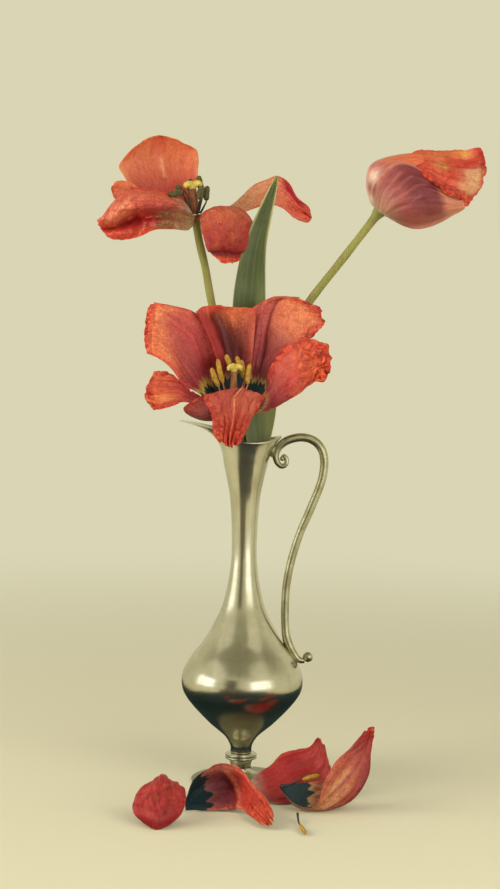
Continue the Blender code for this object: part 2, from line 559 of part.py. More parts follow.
# Each row: (place along the rings 0..9, degrees from the top towards the front) of one
# edge, the rib and the other edge
BUD_PETALS = {
    "right_petal_1": (0, [
        [(0.0, 95), (0.0, 135), (0.0, 172)],
        [(1.3, 86), (1.5, 130), (1.6, 180)],
        [(2.6, 66), (3.0, 118), (3.4, 180)],
        [(3.2, 44), (3.8, 108), (4.4, 174)],
        [(3.6, 32), (4.3, 96), (5.2, 164)],
        [(4.1, 44), (4.8, 94), (5.6, 150)],
        [(4.5, 66), (5.0, 96), (5.6, 130)],
    ]),
    "right_petal_2": (1, [
        [(0.0, -30), (0.0, 28), (0.0, 84)],
        [(1.5, -40), (1.5, 18), (1.5, 72)],
        [(3.0, -52), (3.0, 6), (3.0, 62)],
        [(4.5, -56), (4.5, 0), (4.5, 54)],
        [(6.0, -52), (6.0, -4), (6.0, 44)],
        [(7.4, -44), (7.6, -6), (7.4, 34)],
        [(8.4, -26), (8.8, -6), (8.4, 16)],
    ]),
    "right_petal_3": (2, [
        [(0.0, 188), (0.0, 250), (0.0, 312)],
        [(1.5, 193), (1.5, 246), (1.5, 300)],
        [(2.2, 185), (2.2, 242), (2.2, 300)],
        [(3.0, 170), (3.0, 236), (3.0, 300)],
        [(4.5, 168), (4.5, 234), (4.5, 298)],
        [(6.0, 176), (6.0, 234), (6.0, 292)],
        [(7.2, 196), (7.4, 236), (7.2, 276)],
        [(7.8, 216), (8.0, 236), (7.8, 256)],
    ]),
    "right_petal_4": (3, [
        [(0.0, 40), (0.0, 90), (0.0, 140)],
        [(1.5, 34), (1.5, 88), (1.5, 142)],
        [(3.0, 26), (3.0, 84), (3.0, 142)],
        [(4.5, 22), (4.5, 82), (4.5, 140)],
        [(6.0, 24), (6.0, 80), (6.0, 136)],
        [(7.6, 34), (7.6, 78), (7.6, 122)],
        [(8.8, 50), (9.0, 76), (8.8, 104)],
    ]),
    "right_petal_5": (4, [
        [(0.0, 164), (0.0, 212), (0.0, 260)],
        [(1.5, 156), (1.5, 208), (1.5, 260)],
        [(3.0, 132), (3.0, 196), (3.0, 260)],
        [(4.5, 126), (4.5, 190), (4.5, 254)],
        [(6.0, 128), (6.0, 184), (6.0, 240)],
        [(7.2, 140), (7.4, 180), (7.2, 222)],
        [(8.0, 158), (8.2, 178), (8.0, 200)],
    ]),
    "right_petal_6": (5, [
        [(0.0, 284), (0.0, 330), (0.0, 376)],
        [(1.5, 276), (1.5, 328), (1.5, 380)],
        [(3.0, 262), (3.0, 326), (3.0, 388)],
        [(4.5, 258), (4.5, 324), (4.5, 388)],
        [(6.0, 264), (6.0, 324), (6.0, 386)],
        [(7.4, 280), (7.6, 326), (7.4, 370)],
        [(8.4, 306), (8.6, 328), (8.4, 350)],
    ]),
}
BASE_WHORL_STEP = 1.7   # at the base the three inner petals lie this far inside the others


def bud_point(ring_place, degrees, layer):
    """Point on the shut flower, on the given layer of its wrapped petals."""
    index = min(int(ring_place), len(BUD_RINGS) - 2)
    f = ring_place - index
    low, high = np.array(BUD_RINGS[index]), np.array(BUD_RINGS[index + 1])
    along, offset, radius, lean = low + (high - low) * f
    spread = smooth_step((ring_place - 0.2) / 2.6)
    base_depth = BASE_WHORL_STEP if layer > 2 else 0.0
    depth = base_depth + (layer * LAYER_STEP - base_depth) * spread
    inward = smooth_step(ring_place / 3.0)
    radius -= depth * inward
    along += depth * (1 - inward)
    angle = math.radians(degrees)
    axis = np.array((math.cos(BUD_AXIS_RISE), 0.0, math.sin(BUD_AXIS_RISE)))
    up = np.array((-math.sin(BUD_AXIS_RISE), 0.0, math.cos(BUD_AXIS_RISE)))
    front = np.array((0.0, -1.0, 0.0))
    height = offset + radius * math.cos(angle)
    along -= lean * (height - offset)
    return BUD_ORIGIN + along * axis + height * up + radius * math.sin(angle) * front


def make_shut_flower(along=9, across=6):
    for name, (layer, net) in BUD_PETALS.items():
        places = surface_through(net, along, across)
        grid = np.array([[bud_point(place, degrees, layer) for place, degrees in row]
                         for row in places])
        finish = PETAL_MAUVE if layer < 3 else PETAL_RED
        add_sheet(name, grid, PETAL_THICKNESS, finish)


clear_scene()
make_vase()
make_handle()
make_stems_and_leaf()
make_open_flowers()
make_shut_flower()
make_fallen_pieces()
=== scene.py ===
import math
from dataclasses import dataclass

import bpy
import numpy as np
from mathutils import Matrix, Vector, noise


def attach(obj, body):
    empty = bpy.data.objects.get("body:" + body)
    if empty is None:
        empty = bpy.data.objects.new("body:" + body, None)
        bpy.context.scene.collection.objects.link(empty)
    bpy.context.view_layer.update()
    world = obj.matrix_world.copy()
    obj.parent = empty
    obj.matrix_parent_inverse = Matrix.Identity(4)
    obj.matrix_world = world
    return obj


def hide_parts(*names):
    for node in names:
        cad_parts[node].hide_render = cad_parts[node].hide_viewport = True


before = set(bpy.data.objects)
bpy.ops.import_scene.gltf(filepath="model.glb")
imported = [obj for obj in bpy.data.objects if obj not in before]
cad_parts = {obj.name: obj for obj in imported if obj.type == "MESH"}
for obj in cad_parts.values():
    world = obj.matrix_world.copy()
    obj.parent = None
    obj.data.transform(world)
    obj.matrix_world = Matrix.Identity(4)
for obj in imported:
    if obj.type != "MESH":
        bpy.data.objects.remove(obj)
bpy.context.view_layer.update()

# Wilted tulips in a pewter jug vase, with dropped petals and stamens round the foot.
# Lists of points are in millimetres and MM turns them into metres. The front is -Y.
MM = 0.001
PETAL_THICKNESS = 0.42
LEAF_THICKNESS = 0.7
WALL = 0.95
TABLE_GAP = 0.05


# ---------------------------------------------------------------- colours and nodes

def screen(red, green, blue):
    """Linear colour of a screen colour given as values from 0 to 255."""
    parts = []
    for value in (red, green, blue):
        value /= 255
        parts.append(value / 12.92 if value <= 0.04045 else ((value + 0.055) / 1.055) ** 2.4)
    return (*parts, 1.0)


SALMON = (222, 116, 76)
ORANGE_RED = (214, 80, 52)
FLAME = (228, 74, 44)
CRIMSON = (186, 44, 46)
MAROON = (118, 30, 36)
MAGENTA = (160, 50, 62)
MAUVE = (146, 70, 72)
YELLOW = (206, 188, 84)
TEAL_BLACK = (10, 34, 40)
GREEN_WHITE = (178, 180, 136)


class Nodes:
    """A node tree, with short ways to add and join its nodes."""

    def __init__(self, tree):
        self.tree = tree

    def join(self, source, socket):
        """Links an output to the socket, or sets the socket to a value; None leaves it."""
        if isinstance(source, bpy.types.NodeSocket):
            self.tree.links.new(source, socket)
        elif source is not None:
            socket.default_value = source

    def join_all(self, node, *sources):
        """Joins sources to a node's inputs in order, and returns its first output."""
        for source, socket in zip(sources, node.inputs):
            self.join(source, socket)
        return node.outputs[0]

    def join_named(self, node, **sources):
        """Joins sources to inputs by name, with _ for a space, and returns the node."""
        for key, source in sources.items():
            self.join(source, node.inputs[key.replace("_", " ")])
        return node

    def node(self, kind, **settings):
        node = self.tree.nodes.new(kind)
        for key, value in settings.items():
            setattr(node, key, value)
        return node

    def math(self, operation, first, second=None):
        return self.join_all(self.node("ShaderNodeMath", operation=operation), first, second)

    def vector_math(self, operation, first, second):
        node = self.node("ShaderNodeVectorMath", operation=operation)
        return self.join_all(node, first, second)

    def length(self, vector):
        node = self.node("ShaderNodeVectorMath", operation="LENGTH")
        self.join_all(node, vector)
        return node.outputs["Value"]

    def object_place(self):
        """Place on the object, in metres."""
        return self.node("ShaderNodeTexCoord").outputs["Object"]

    def place(self):
        """Place on the object, in millimetres."""
        return self.vector_math("MULTIPLY", self.object_place(), (1000.0, 1000.0, 1000.0))

    def parts(self, vector):
        node = self.node("ShaderNodeSeparateXYZ")
        self.join_all(node, vector)
        return node.outputs

    def combined(self, x, y, z):
        return self.join_all(self.node("ShaderNodeCombineXYZ"), x, y, z)

    def cloud(self, vector, scale, detail=2.0, roughness=0.5, distortion=0.0):
        node = self.node("ShaderNodeTexNoise")
        self.join_named(node, Vector=vector, Scale=scale, Detail=detail, Roughness=roughness,
                        Distortion=distortion)
        return node.outputs["Fac"]

    def cracks(self, vector, scale):
        """Distance to the nearest line of a net of cracks."""
        node = self.node("ShaderNodeTexVoronoi", feature="DISTANCE_TO_EDGE")
        return self.join_named(node, Vector=vector, Scale=scale).outputs["Distance"]

    def spread(self, value, low, high, to_low=0.0, to_high=1.0):
        """Maps low..high of a value smoothly to to_low..to_high."""
        node = self.node("ShaderNodeMapRange", interpolation_type="SMOOTHSTEP")
        self.join_named(node, Value=value, From_Min=low, From_Max=high, To_Min=to_low,
                        To_Max=to_high)
        return node.outputs["Result"]

    def blend(self, factor, first, second, kind="MIX"):
        node = self.node("ShaderNodeMix", data_type="RGBA", blend_type=kind)
        # its two colours are inputs 6 and 7, and the mixed colour is output 2
        self.join(factor, node.inputs["Factor"])
        self.join(first, node.inputs[6])
        self.join(second, node.inputs[7])
        return node.outputs[2]

    def blend_shaders(self, factor, first, second):
        return self.join_all(self.node("ShaderNodeMixShader"), factor, first, second)

    def show(self, output_node, surface):
        self.join(surface, output_node.inputs["Surface"])

    def attribute(self, name, output="Fac"):
        return self.node("ShaderNodeAttribute", attribute_name=name).outputs[output]

    def petal_place(self):
        """Place on a petal: across from the rib as -1..1, and from the base to the tip as 0..1."""
        return self.node("ShaderNodeUVMap", uv_map="growth").outputs["UV"]

    def relief(self, height, depth, strength=1.0, under=None):
        """Bump of a height from 0 to 1, depth in millimetres."""
        node = self.node("ShaderNodeBump")
        self.join_named(node, Strength=strength, Distance=depth * MM, Height=height,
                        Normal=under)
        return node.outputs["Normal"]


class Finish(Nodes):
    """A material and its nodes."""

    def __init__(self, name):
        self.material = bpy.data.materials.new(name)
        self.material.use_nodes = True
        super().__init__(self.material.node_tree)
        self.shader = self.tree.nodes["Principled BSDF"]

    def set(self, **inputs):
        self.join_named(self.shader, **inputs)


# ---------------------------------------------------------------- finishes

def streaks(f, count, reach, seed):
    """Fine lines that run from a petal's base to its tip, bent a little by a slow cloud."""
    x, y, _ = f.parts(f.petal_place())
    bend = f.cloud(f.place(), 0.09, 2.0)
    x = f.math("ADD", x, f.math("MULTIPLY", f.math("SUBTRACT", bend, 0.5), 0.22))
    line = f.combined(f.math("MULTIPLY", x, count), f.math("MULTIPLY", y, reach), seed)
    return f.cloud(line, 1.0, 3.0, 0.55)


def base_blotch(f, color, x, y, grain, seed):
    """Lays the dark blotch at a petal's base, and the yellow margin round it, on a colour."""
    blotch = f.attribute("blotch")
    present = f.math("GREATER_THAN", blotch, 0.01)
    jag = f.cloud(f.combined(f.math("MULTIPLY", x, 4.0), 0.0, seed), 1.0, 1.0, 0.5)
    reach = f.math("MULTIPLY", blotch, f.spread(jag, 0.36, 0.64, 0.86, 1.10))
    outside = f.math("SUBTRACT", y, reach)
    halo = f.math("MULTIPLY", f.spread(outside, 0.0, 0.06, 1.0, 0.0), present)
    color = f.blend(f.math("MULTIPLY", halo, f.attribute("halo")), color, screen(*YELLOW))
    dark = f.math("MULTIPLY", f.spread(outside, -0.008, 0.008, 1.0, 0.0), present)
    speckled = f.blend(f.spread(grain, 0.4, 0.7), screen(*TEAL_BLACK), screen(26, 58, 62))
    return f.blend(dark, color, speckled)


def make_petal_finish(name, inner):
    """Papery petal: broad tints, folds, veins, painted glints on its cells and the blotch at its
    base.
    """
    f = Finish(name)
    place = f.place()
    x, y, _ = f.parts(f.petal_place())
    tint = f.attribute("tint", "Color")
    seed = f.attribute("seed")
    dry = f.attribute("dry")
    fold = f.attribute("fold")
    calm = f.attribute("cool")

    veins = streaks(f, 13.0, 3.2, seed)
    hairs = streaks(f, 46.0, 9.0, seed)
    mottle = f.cloud(place, 0.22, 4.0, 0.62)
    blot = f.cloud(place, 0.55, 3.0, 0.6, 0.6)
    grain = f.cloud(place, 1.05, 3.0, 0.68)

    # the outer side is mauve, and greenish white towards its base
    if not inner:
        tint = f.blend(f.attribute("mauve"), tint, screen(*MAUVE))
        paler = f.math("MULTIPLY", f.spread(y, 0.02, 0.34, 1.0, 0.0), f.attribute("pale"))
        tint = f.blend(paler, tint, screen(*GREEN_WHITE))

    # a deeper and a lighter shade of the tint, and painted glints, laid on in patterns
    deeper = f.blend(1.0, tint, screen(206, 134, 130), "MULTIPLY")
    lift = f.blend(calm, (1.25, 1.75, 1.5, 1.0), (1.22, 1.34, 1.36, 1.0))
    lighter = f.vector_math("MULTIPLY", tint, lift)
    flash = f.blend(calm, (1.45, 2.7, 2.2, 1.0), (1.3, 1.6, 1.6, 1.0))
    painted_glint = f.vector_math("MULTIPLY", tint, flash)
    color = f.blend(f.spread(veins, 0.42, 0.66, 0.0, 0.36), tint, deeper)
    patches = f.math("MULTIPLY", f.spread(mottle, 0.44, 0.70, 0.0, 0.70),
                     f.spread(calm, 0.0, 1.0, 1.0, 0.3))
    color = f.blend(patches, color, deeper)
    color = f.blend(f.spread(blot, 0.50, 0.72, 0.0, 0.50), color, lighter)
    color = f.blend(f.spread(hairs, 0.50, 0.74, 0.0, 0.30), color, lighter)
    # painted highlights: bright specks of tint that stand for glints on the petal's cells
    painted_glints = f.math("MULTIPLY", f.spread(grain, 0.54, 0.68), f.attribute("painted_glints"))
    color = f.blend(painted_glints, color, painted_glint)
    color = f.blend(f.spread(grain, 0.28, 0.46, 0.32, 0.0), color, deeper)

    # dried, crumpled places: red in the creases and yellowish on the ridges, the dried colour with
    # painted shade in the creases and a painted highlight on the ridges
    lit_ridge = f.blend(f.spread(fold, 0.45, 0.85), screen(216, 74, 46), screen(236, 150, 76))
    crushed = f.blend(f.spread(fold, 0.12, 0.46), screen(150, 26, 26), lit_ridge)
    color = f.blend(f.math("MULTIPLY", dry, f.attribute("crisp")), color, crushed)

    # fine creases, most of them where the petal is dry
    sway = f.combined(f.math("MULTIPLY", mottle, 16.0), f.math("MULTIPLY", blot, 6.0),
                      f.math("MULTIPLY", veins, 12.0))
    cracks = f.cracks(f.vector_math("ADD", place, sway), 0.21)
    crease = f.math("MULTIPLY", f.spread(cracks, 0.0, 0.13, 1.0, 0.0),
                    f.spread(dry, 0.1, 0.6, 0.10, 1.0))
    color = f.blend(f.math("MULTIPLY", crease, 0.6), color,
                    f.blend(1.0, color, screen(190, 80, 90), "MULTIPLY"))
    if inner:
        color = base_blotch(f, color, x, y, grain, seed)

    bump = None
    for height, depth, strength in ((mottle, 0.9, 0.5), (grain, 0.26, 0.7), (blot, 0.40, 0.5),
                                    (veins, 0.35, 0.4), (hairs, 0.16, 0.5),
                                    (crease, -0.5, 0.7)):
        bump = f.relief(height, depth, strength, bump)
    f.set(Base_Color=color, Roughness=f.spread(grain, 0.3, 0.7, 0.34, 0.56), Normal=bump,
          Subsurface_Weight=0.18, Subsurface_Scale=0.0012,
          Subsurface_Radius=(1.0, 0.32, 0.18), Specular_IOR_Level=0.45)
    return f.material


def make_pewter_finish():
    """Spun and polished pewter, a little rougher where the bowl turns under, with a painted
    reflection of a dark table there.
    """
    f = Finish("spun_pewter")
    place = f.place()
    _, _, z = f.parts(place)
    rings = f.cloud(f.combined(0.0, 0.0, z), 1.3, 3.0, 0.6)
    blur = f.cloud(place, 0.045, 3.0, 0.55)
    rub = f.cloud(f.vector_math("MULTIPLY", place, (0.12, 0.12, 0.03)), 1.0, 3.0, 0.6)
    color = f.blend(f.spread(blur, 0.35, 0.68, 0.0, 0.6), screen(214, 210, 190),
                    screen(188, 182, 154))
    color = f.blend(f.spread(rings, 0.4, 0.7, 0.0, 0.14), color, screen(150, 142, 114))
    color = f.blend(f.spread(rub, 0.50, 0.72, 0.0, 0.30), color, screen(168, 160, 124))
    # painted reflection: the under side of the bowl is painted darker, for the dark table it
    # mirrors, with an uneven upper edge
    edge = f.math("ADD", z, f.math("MULTIPLY", f.math("SUBTRACT", blur, 0.5), 3.0))
    under = f.math("MULTIPLY", f.spread(edge, 53.0, 60.0, 1.0, 0.0), f.spread(z, 40.0, 54.0))
    color = f.blend(f.math("MULTIPLY", under, 0.45), color, screen(74, 78, 68))
    rough = f.math("ADD", f.spread(blur, 0.3, 0.7, 0.19, 0.26), f.math("MULTIPLY", under, 0.03))
    # the foot plate is duller
    plate = f.spread(z, 3.6, 6.0, 1.0, 0.0)
    color = f.blend(f.math("MULTIPLY", plate, 0.6), color, screen(120, 114, 92))
    rough = f.math("ADD", rough, f.math("MULTIPLY", plate, 0.22))
    tangent = f.node("ShaderNodeTangent", direction_type="RADIAL", axis="Z").outputs[0]
    f.set(Base_Color=color, Roughness=rough, Normal=f.relief(rings, 0.02, 0.35), Metallic=1.0,
          Anisotropic=0.35, Tangent=tangent)
    return f.material


def make_bar_finish():
    """Cast pewter of the handle, a little greener and softer than the spun body."""
    f = Finish("cast_pewter")
    place = f.place()
    blur = f.cloud(place, 0.08, 3.0, 0.6)
    pits = f.cloud(place, 0.45, 3.0, 0.6)
    color = f.blend(f.spread(blur, 0.35, 0.7), screen(206, 202, 172), screen(166, 160, 124))
    color = f.blend(f.spread(pits, 0.62, 0.78, 0.0, 0.25), color, screen(122, 114, 84))
    f.set(Base_Color=color, Roughness=f.spread(blur, 0.3, 0.7, 0.30, 0.38), Metallic=1.0,
          Normal=f.relief(blur, 0.05, 0.4))
    return f.material


def make_stem_finish():
    """Dull green skin with a long grain and paler blushes."""
    f = Finish("stem_skin")
    place = f.place()
    long_grain = f.cloud(f.vector_math("MULTIPLY", place, (0.6, 0.6, 0.08)), 1.0, 2.0, 0.5)
    blush = f.cloud(place, 0.05, 2.0)
    color = f.blend(f.spread(long_grain, 0.35, 0.7), screen(134, 130, 62), screen(121, 118, 53))
    color = f.blend(f.spread(blush, 0.4, 0.7, 0.0, 0.6), color, screen(144, 140, 68))
    f.set(Base_Color=color, Roughness=0.6, Normal=f.relief(long_grain, 0.02, 0.2))
    return f.material


def make_leaf_finish():
    """Leaf: fine veins along it, a grey bloom, a painted highlight low down, pale margins and a
    yellowing tip.
    """
    f = Finish("leaf_skin")
    x, y, _ = f.parts(f.petal_place())
    line = f.combined(f.math("MULTIPLY", x, 30.0), f.math("MULTIPLY", y, 0.8), 0.0)
    veins = f.cloud(line, 1.0, 2.0, 0.5)
    bloom = f.cloud(f.place(), 0.05, 3.0, 0.6)
    color = f.blend(f.spread(veins, 0.38, 0.66), screen(79, 89, 43), screen(55, 67, 31))
    color = f.blend(f.spread(bloom, 0.35, 0.7, 0.0, 0.5), color, screen(94, 104, 66))
    # painted highlight: the lower part of the leaf is painted lighter, where light falls on it
    color = f.blend(f.spread(y, 0.40, 0.58, 0.35, 0.0), color, screen(122, 132, 86))
    # the side that folds over, low on the right
    fold = f.math("MULTIPLY", f.spread(x, 0.30, 0.62), f.spread(y, 0.66, 0.50, 0.0, 0.75))
    color = f.blend(fold, color, screen(118, 124, 64))
    # both margins, paler higher up
    across = f.math("ABSOLUTE", x)
    color = f.blend(f.spread(across, 0.90, 1.0, 0.0, 0.6), color, screen(134, 138, 92))
    pale_rim = f.math("MULTIPLY", f.spread(across, 0.70, 0.94),
                      f.spread(y, 0.62, 0.84, 0.0, 0.85))
    color = f.blend(pale_rim, color, screen(176, 172, 108))
    color = f.blend(f.spread(y, 0.90, 1.0, 0.0, 0.75), color, screen(128, 126, 60))
    f.set(Base_Color=color, Roughness=0.5, Normal=f.relief(veins, 0.25, 0.7),
          Subsurface_Weight=0.08, Subsurface_Scale=0.001, Subsurface_Radius=(0.5, 0.8, 0.2))
    return f.material


def make_plain_finish(name, main, second, dark, grain_scale, roughness, depth):
    """Mottled dry finish for the small parts inside a flower."""
    f = Finish(name)
    place = f.place()
    mottle = f.cloud(place, grain_scale * 0.25, 3.0, 0.6)
    grain = f.cloud(place, grain_scale, 3.0, 0.65)
    color = f.blend(f.spread(mottle, 0.36, 0.66), screen(*main), screen(*second))
    color = f.blend(f.spread(grain, 0.56, 0.74, 0.0, 0.8), color, screen(*dark))
    f.set(Base_Color=color, Roughness=roughness, Normal=f.relief(grain, depth, 0.8),
          Subsurface_Weight=0.1, Subsurface_Scale=0.0006, Subsurface_Radius=(1.0, 0.7, 0.3))
    return f.material


PETAL_INNER = make_petal_finish("petal_inner_side", True)
PETAL_OUTER = make_petal_finish("petal_outer_side", False)
PEWTER = make_pewter_finish()
CAST_PEWTER = make_bar_finish()
STEM_SKIN = make_stem_finish()
LEAF_SKIN = make_leaf_finish()
POLLEN = make_plain_finish("dusty_pollen", (188, 146, 46), (152, 110, 34), (90, 60, 24),
                           2.4, 0.8, 0.2)
DARK_POLLEN = make_plain_finish("dark_pollen", (96, 88, 44), (58, 56, 30), (26, 26, 20),
                                2.4, 0.8, 0.2)
FILAMENT = make_plain_finish("filament_skin", (70, 50, 40), (40, 34, 34), (22, 24, 28),
                             1.2, 0.6, 0.1)
PALE_FILAMENT = make_plain_finish("pale_filament_skin", (176, 104, 70), (140, 70, 52),
                                  (90, 44, 36), 1.2, 0.6, 0.1)
PISTIL_SKIN = make_plain_finish("pistil_skin", (150, 100, 54), (124, 68, 42), (84, 48, 36),
                                1.0, 0.6, 0.12)
STIGMA_SKIN = make_plain_finish("stigma_skin", (214, 196, 96), (196, 172, 72), (150, 124, 52),
                                1.2, 0.6, 0.2)


# ---------------------------------------------------------------- shape helpers

def smooth_step(low, high, value):
    """0 up to the low value, 1 from the high one on, and a soft ramp between them."""
    x = np.clip((np.asarray(value, dtype=float) - low) / (high - low), 0.0, 1.0)
    return x * x * (3.0 - 2.0 * x)


def padded(net):
    """The net with one more row before its first and after its last."""
    return np.concatenate((2 * net[:1] - net[1:2], net, 2 * net[-1:] - net[-2:-1]))


def weights(f):
    """Weights of the four nearest points on a smooth curve, at a fraction f between two."""
    return np.stack((-0.5 * f + f ** 2 - 0.5 * f ** 3,
                     1 - 2.5 * f ** 2 + 1.5 * f ** 3,
                     0.5 * f + 2 * f ** 2 - 1.5 * f ** 3,
                     -0.5 * f ** 2 + 0.5 * f ** 3), axis=-1)


def curve_at(points, place):
    """Points on the smooth curve through the points; place runs from 0 to 1."""
    points = padded(np.asarray(points, dtype=float))
    spot = np.clip(place, 0.0, 1.0) * (len(points) - 3)
    index = np.minimum(spot.astype(int), len(points) - 4)
    near = np.stack([points[index + k] for k in range(4)], axis=-2)
    return np.einsum("...k,...kc->...c", weights(spot - index), near)


def surface_at(net, u, v):
    """Points on the smooth surface through a net; u along its rows, v across, both 0 to 1."""
    net = padded(np.asarray(net, dtype=float))
    net = padded(net.transpose(1, 0, 2)).transpose(1, 0, 2)
    row = np.clip(u, 0.0, 1.0) * (net.shape[0] - 3)
    column = np.clip(v, 0.0, 1.0) * (net.shape[1] - 3)
    i = np.minimum(row.astype(int), net.shape[0] - 4)
    j = np.minimum(column.astype(int), net.shape[1] - 4)
    wi, wj = weights(row - i), weights(column - j)
    total = np.zeros(u.shape + (3,))
    for a in range(4):
        for b in range(4):
            total += (wi[..., a] * wj[..., b])[..., None] * net[i + a, j + b]
    return total


def wobble(x, y, z):
    """Smooth random number, about -1 to 1, that is always the same at the same place."""
    return noise.noise(Vector((x, y, z)))


def deselect():
    """Leaves edit mode and selects nothing."""
    if bpy.context.object and bpy.context.object.mode != "OBJECT":
        bpy.ops.object.mode_set(mode="OBJECT")
    bpy.ops.object.select_all(action="DESELECT")


def in_edit_mode(*steps):
    """Runs edit-mode operators on everything in the active piece."""
    bpy.ops.object.mode_set(mode="EDIT")
    bpy.ops.mesh.select_all(action="SELECT")
    for step in steps:
        step()
    bpy.ops.object.mode_set(mode="OBJECT")


def outward_faces():
    bpy.ops.mesh.normals_make_consistent(inside=False)


def finish_piece(piece, name, nodes, material=None):
    """Names a piece, smooths it and ties it to the CAD nodes it takes the place of."""
    piece.name = name
    piece.data.name = name
    if material:
        piece.data.materials.clear()
        piece.data.materials.append(material)
    for polygon in piece.data.polygons:
        polygon.use_smooth = True
    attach(piece, "root")
    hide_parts(*nodes)


def set_points(mesh, points):
    """Moves every vertex of a mesh to a point in millimetres."""
    mesh.vertices.foreach_set("co", (np.asarray(points, dtype=float) * MM).ravel())
    mesh.update()


def thicken(piece, thickness, back_material=0):
    """Gives a sheet its thickness, half to each side, and rounds its edges."""
    wall = piece.modifiers.new("wall", "SOLIDIFY")
    wall.thickness = thickness * MM
    wall.offset = 0.0
    wall.material_offset = back_material
    wall.material_offset_rim = back_material
    rounding = piece.modifiers.new("rounding", "SUBSURF")
    rounding.levels = 1
    rounding.render_levels = 1
    for modifier in list(piece.modifiers):
        bpy.ops.object.modifier_apply(modifier=modifier.name)


def join_into(first, others):
    """Joins the other pieces into the first one."""
    deselect()
    for piece in others:
        piece.select_set(True)
    first.select_set(True)
    bpy.context.view_layer.objects.active = first
    bpy.ops.object.join()
    return first


def new_tube(path, radii, stations, sides):
    """Round bar along a smooth path, with the radii given at the path's own points."""
    deselect()
    bpy.ops.curve.primitive_nurbs_path_add(radius=MM)
    bar = bpy.context.object
    place = np.linspace(0.0, 1.0, stations)
    centers = curve_at(path, place) * MM
    radius = curve_at(np.asarray(radii, dtype=float)[:, None], place)[:, 0]
    bar.data.splines.clear()
    spline = bar.data.splines.new("POLY")
    spline.points.add(stations - 1)
    spline.points.foreach_set("co", np.column_stack((centers, np.ones(stations))).ravel())
    spline.points.foreach_set("radius", radius)
    bar.location = (0.0, 0.0, 0.0)
    bar.rotation_euler = (0.0, 0.0, 0.0)
    bar.data.dimensions = "3D"
    bar.data.bevel_depth = MM
    bar.data.bevel_resolution = max(sides // 4 - 1, 0)
    bar.data.use_fill_caps = True
    bpy.ops.object.convert(target="MESH")
    in_edit_mode(lambda: bpy.ops.mesh.remove_doubles(threshold=1e-7), outward_faces)
    return bpy.context.object


def new_turning(profile, steps):
    """Spins a profile, a list of radius and height, round the upright axis."""
    deselect()
    bpy.ops.mesh.primitive_circle_add(vertices=len(profile), radius=MM)
    piece = bpy.context.object
    set_points(piece.data, [(r, 0.0, z) for r, z in profile])
    # the edge that closes the ring, from the last point back to the first, is taken out
    ends = {0, len(profile) - 1}
    closing = [edge.index for edge in piece.data.edges if set(edge.vertices) == ends]
    bpy.ops.object.mode_set(mode="EDIT")
    bpy.ops.mesh.select_all(action="DESELECT")
    bpy.ops.object.mode_set(mode="OBJECT")
    for index in closing:
        piece.data.edges[index].select = True
    bpy.ops.object.mode_set(mode="EDIT")
    bpy.ops.mesh.select_mode(type="EDGE")
    bpy.ops.mesh.delete(type="EDGE")
    bpy.ops.mesh.select_mode(type="VERT")
    in_edit_mode(
        lambda: bpy.ops.mesh.spin(steps=steps, angle=2 * math.pi, center=(0.0, 0.0, 0.0),
                                  axis=(0.0, 0.0, 1.0)),
        lambda: bpy.ops.mesh.select_all(action="SELECT"),
        lambda: bpy.ops.mesh.remove_doubles(threshold=1e-6),
        outward_faces)
    return piece


# ---------------------------------------------------------------- vase

# Outer profile of the body as radius and height, from its bottom to just under the rim
BODY_BOTTOM_Z = 18.0
RIM_Z = 214.2
RIM_RADIUS = 17.8
RIM_ROLL_RADIUS = 0.62
BODY_PROFILE = [
    (6.6, BODY_BOTTOM_Z), (6.9, 22.5), (10, 28), (15.5, 33), (21.2, 38), (31.1, 48.5),
    (36.6, 56.5), (38, 63.5), (36.6, 71), (32, 79), (24.5, 89), (18.6, 99.5),
    (13.9, 109.5), (11.1, 119.5), (9.1, 130), (7.9, 143), (8.1, 160), (9.3, 178),
    (11.4, 190), (13.7, 200), (14.8, 204), (15.7, 207.5), (16.6, 210.5), (17.3, 212.6),
    (RIM_RADIUS, RIM_Z - 0.4),
]
HOLLOW_BOTTOM_Z = 31.0
SPOUT_START_Z = 200.0
SPOUT_REACH = 21.0
SPOUT_RISE = 11.8
SPOUT_HALF_ANGLE = math.radians(30)
TROUGH_HALF_ANGLE = math.radians(50)
HANDLE_SIDE_REACH = 4.0
HANDLE_SIDE_RISE = 3.0
HANDLE_SIDE_HALF_ANGLE = math.radians(40)

# Foot: the round plate, then the waist, the collar ring and the seat under the body
FOOT_TOP_Z = 17.7
FOOT_PROFILE = [
    (29.8, 0), (30.7, 0.25), (31, 0.7), (30.7, 1.25), (28.5, 2), (24, 2.7), (19, 3.2),
    (14.6, 3.7), (11, 4.4), (8.6, 5.3), (7.1, 6.5), (6.3, 8.4), (6.5, 10.6), (7.3, 12.8),
    (8.3, 13.9), (9.4, 14.1), (9.9, 14.6), (9.8, 15.3), (9.2, 15.7), (9.3, 16), (9.9, 16.3),
    (9.9, 17), (9.2, 17.5), (8.4, FOOT_TOP_Z),
]

# Handle, as x and z: the scroll under the rim, the arch, the long curve and the low curl
HANDLE_PATH = [
    (22.3, 203.6), (23.6, 205.4), (25.4, 203.6), (25, 200.4), (22.4, 199.2), (19.6, 201.6),
    (18.6, 206), (20.6, 211.2), (25.8, 215.4), (34, 217.4), (41.5, 215.8), (46.6, 211),
    (48.8, 204), (48.4, 195), (46.4, 187), (43.2, 178.5), (39.4, 169), (35.2, 159),
    (31.6, 148), (28.6, 136), (26.6, 123), (26.1, 110), (26.4, 99.5), (27.3, 92),
    (29.5, 85.6), (32.2, 80.8), (35.2, 77.4), (39, 76.7),
]
HANDLE_RADII = ([1.0, 1.4, 1.5, 1.5, 1.6, 1.8, 2.1, 2.4] + [2.65] * 9 + [2.5] * 6
                + [2.7, 2.7, 2.5, 2.1, 1.6])
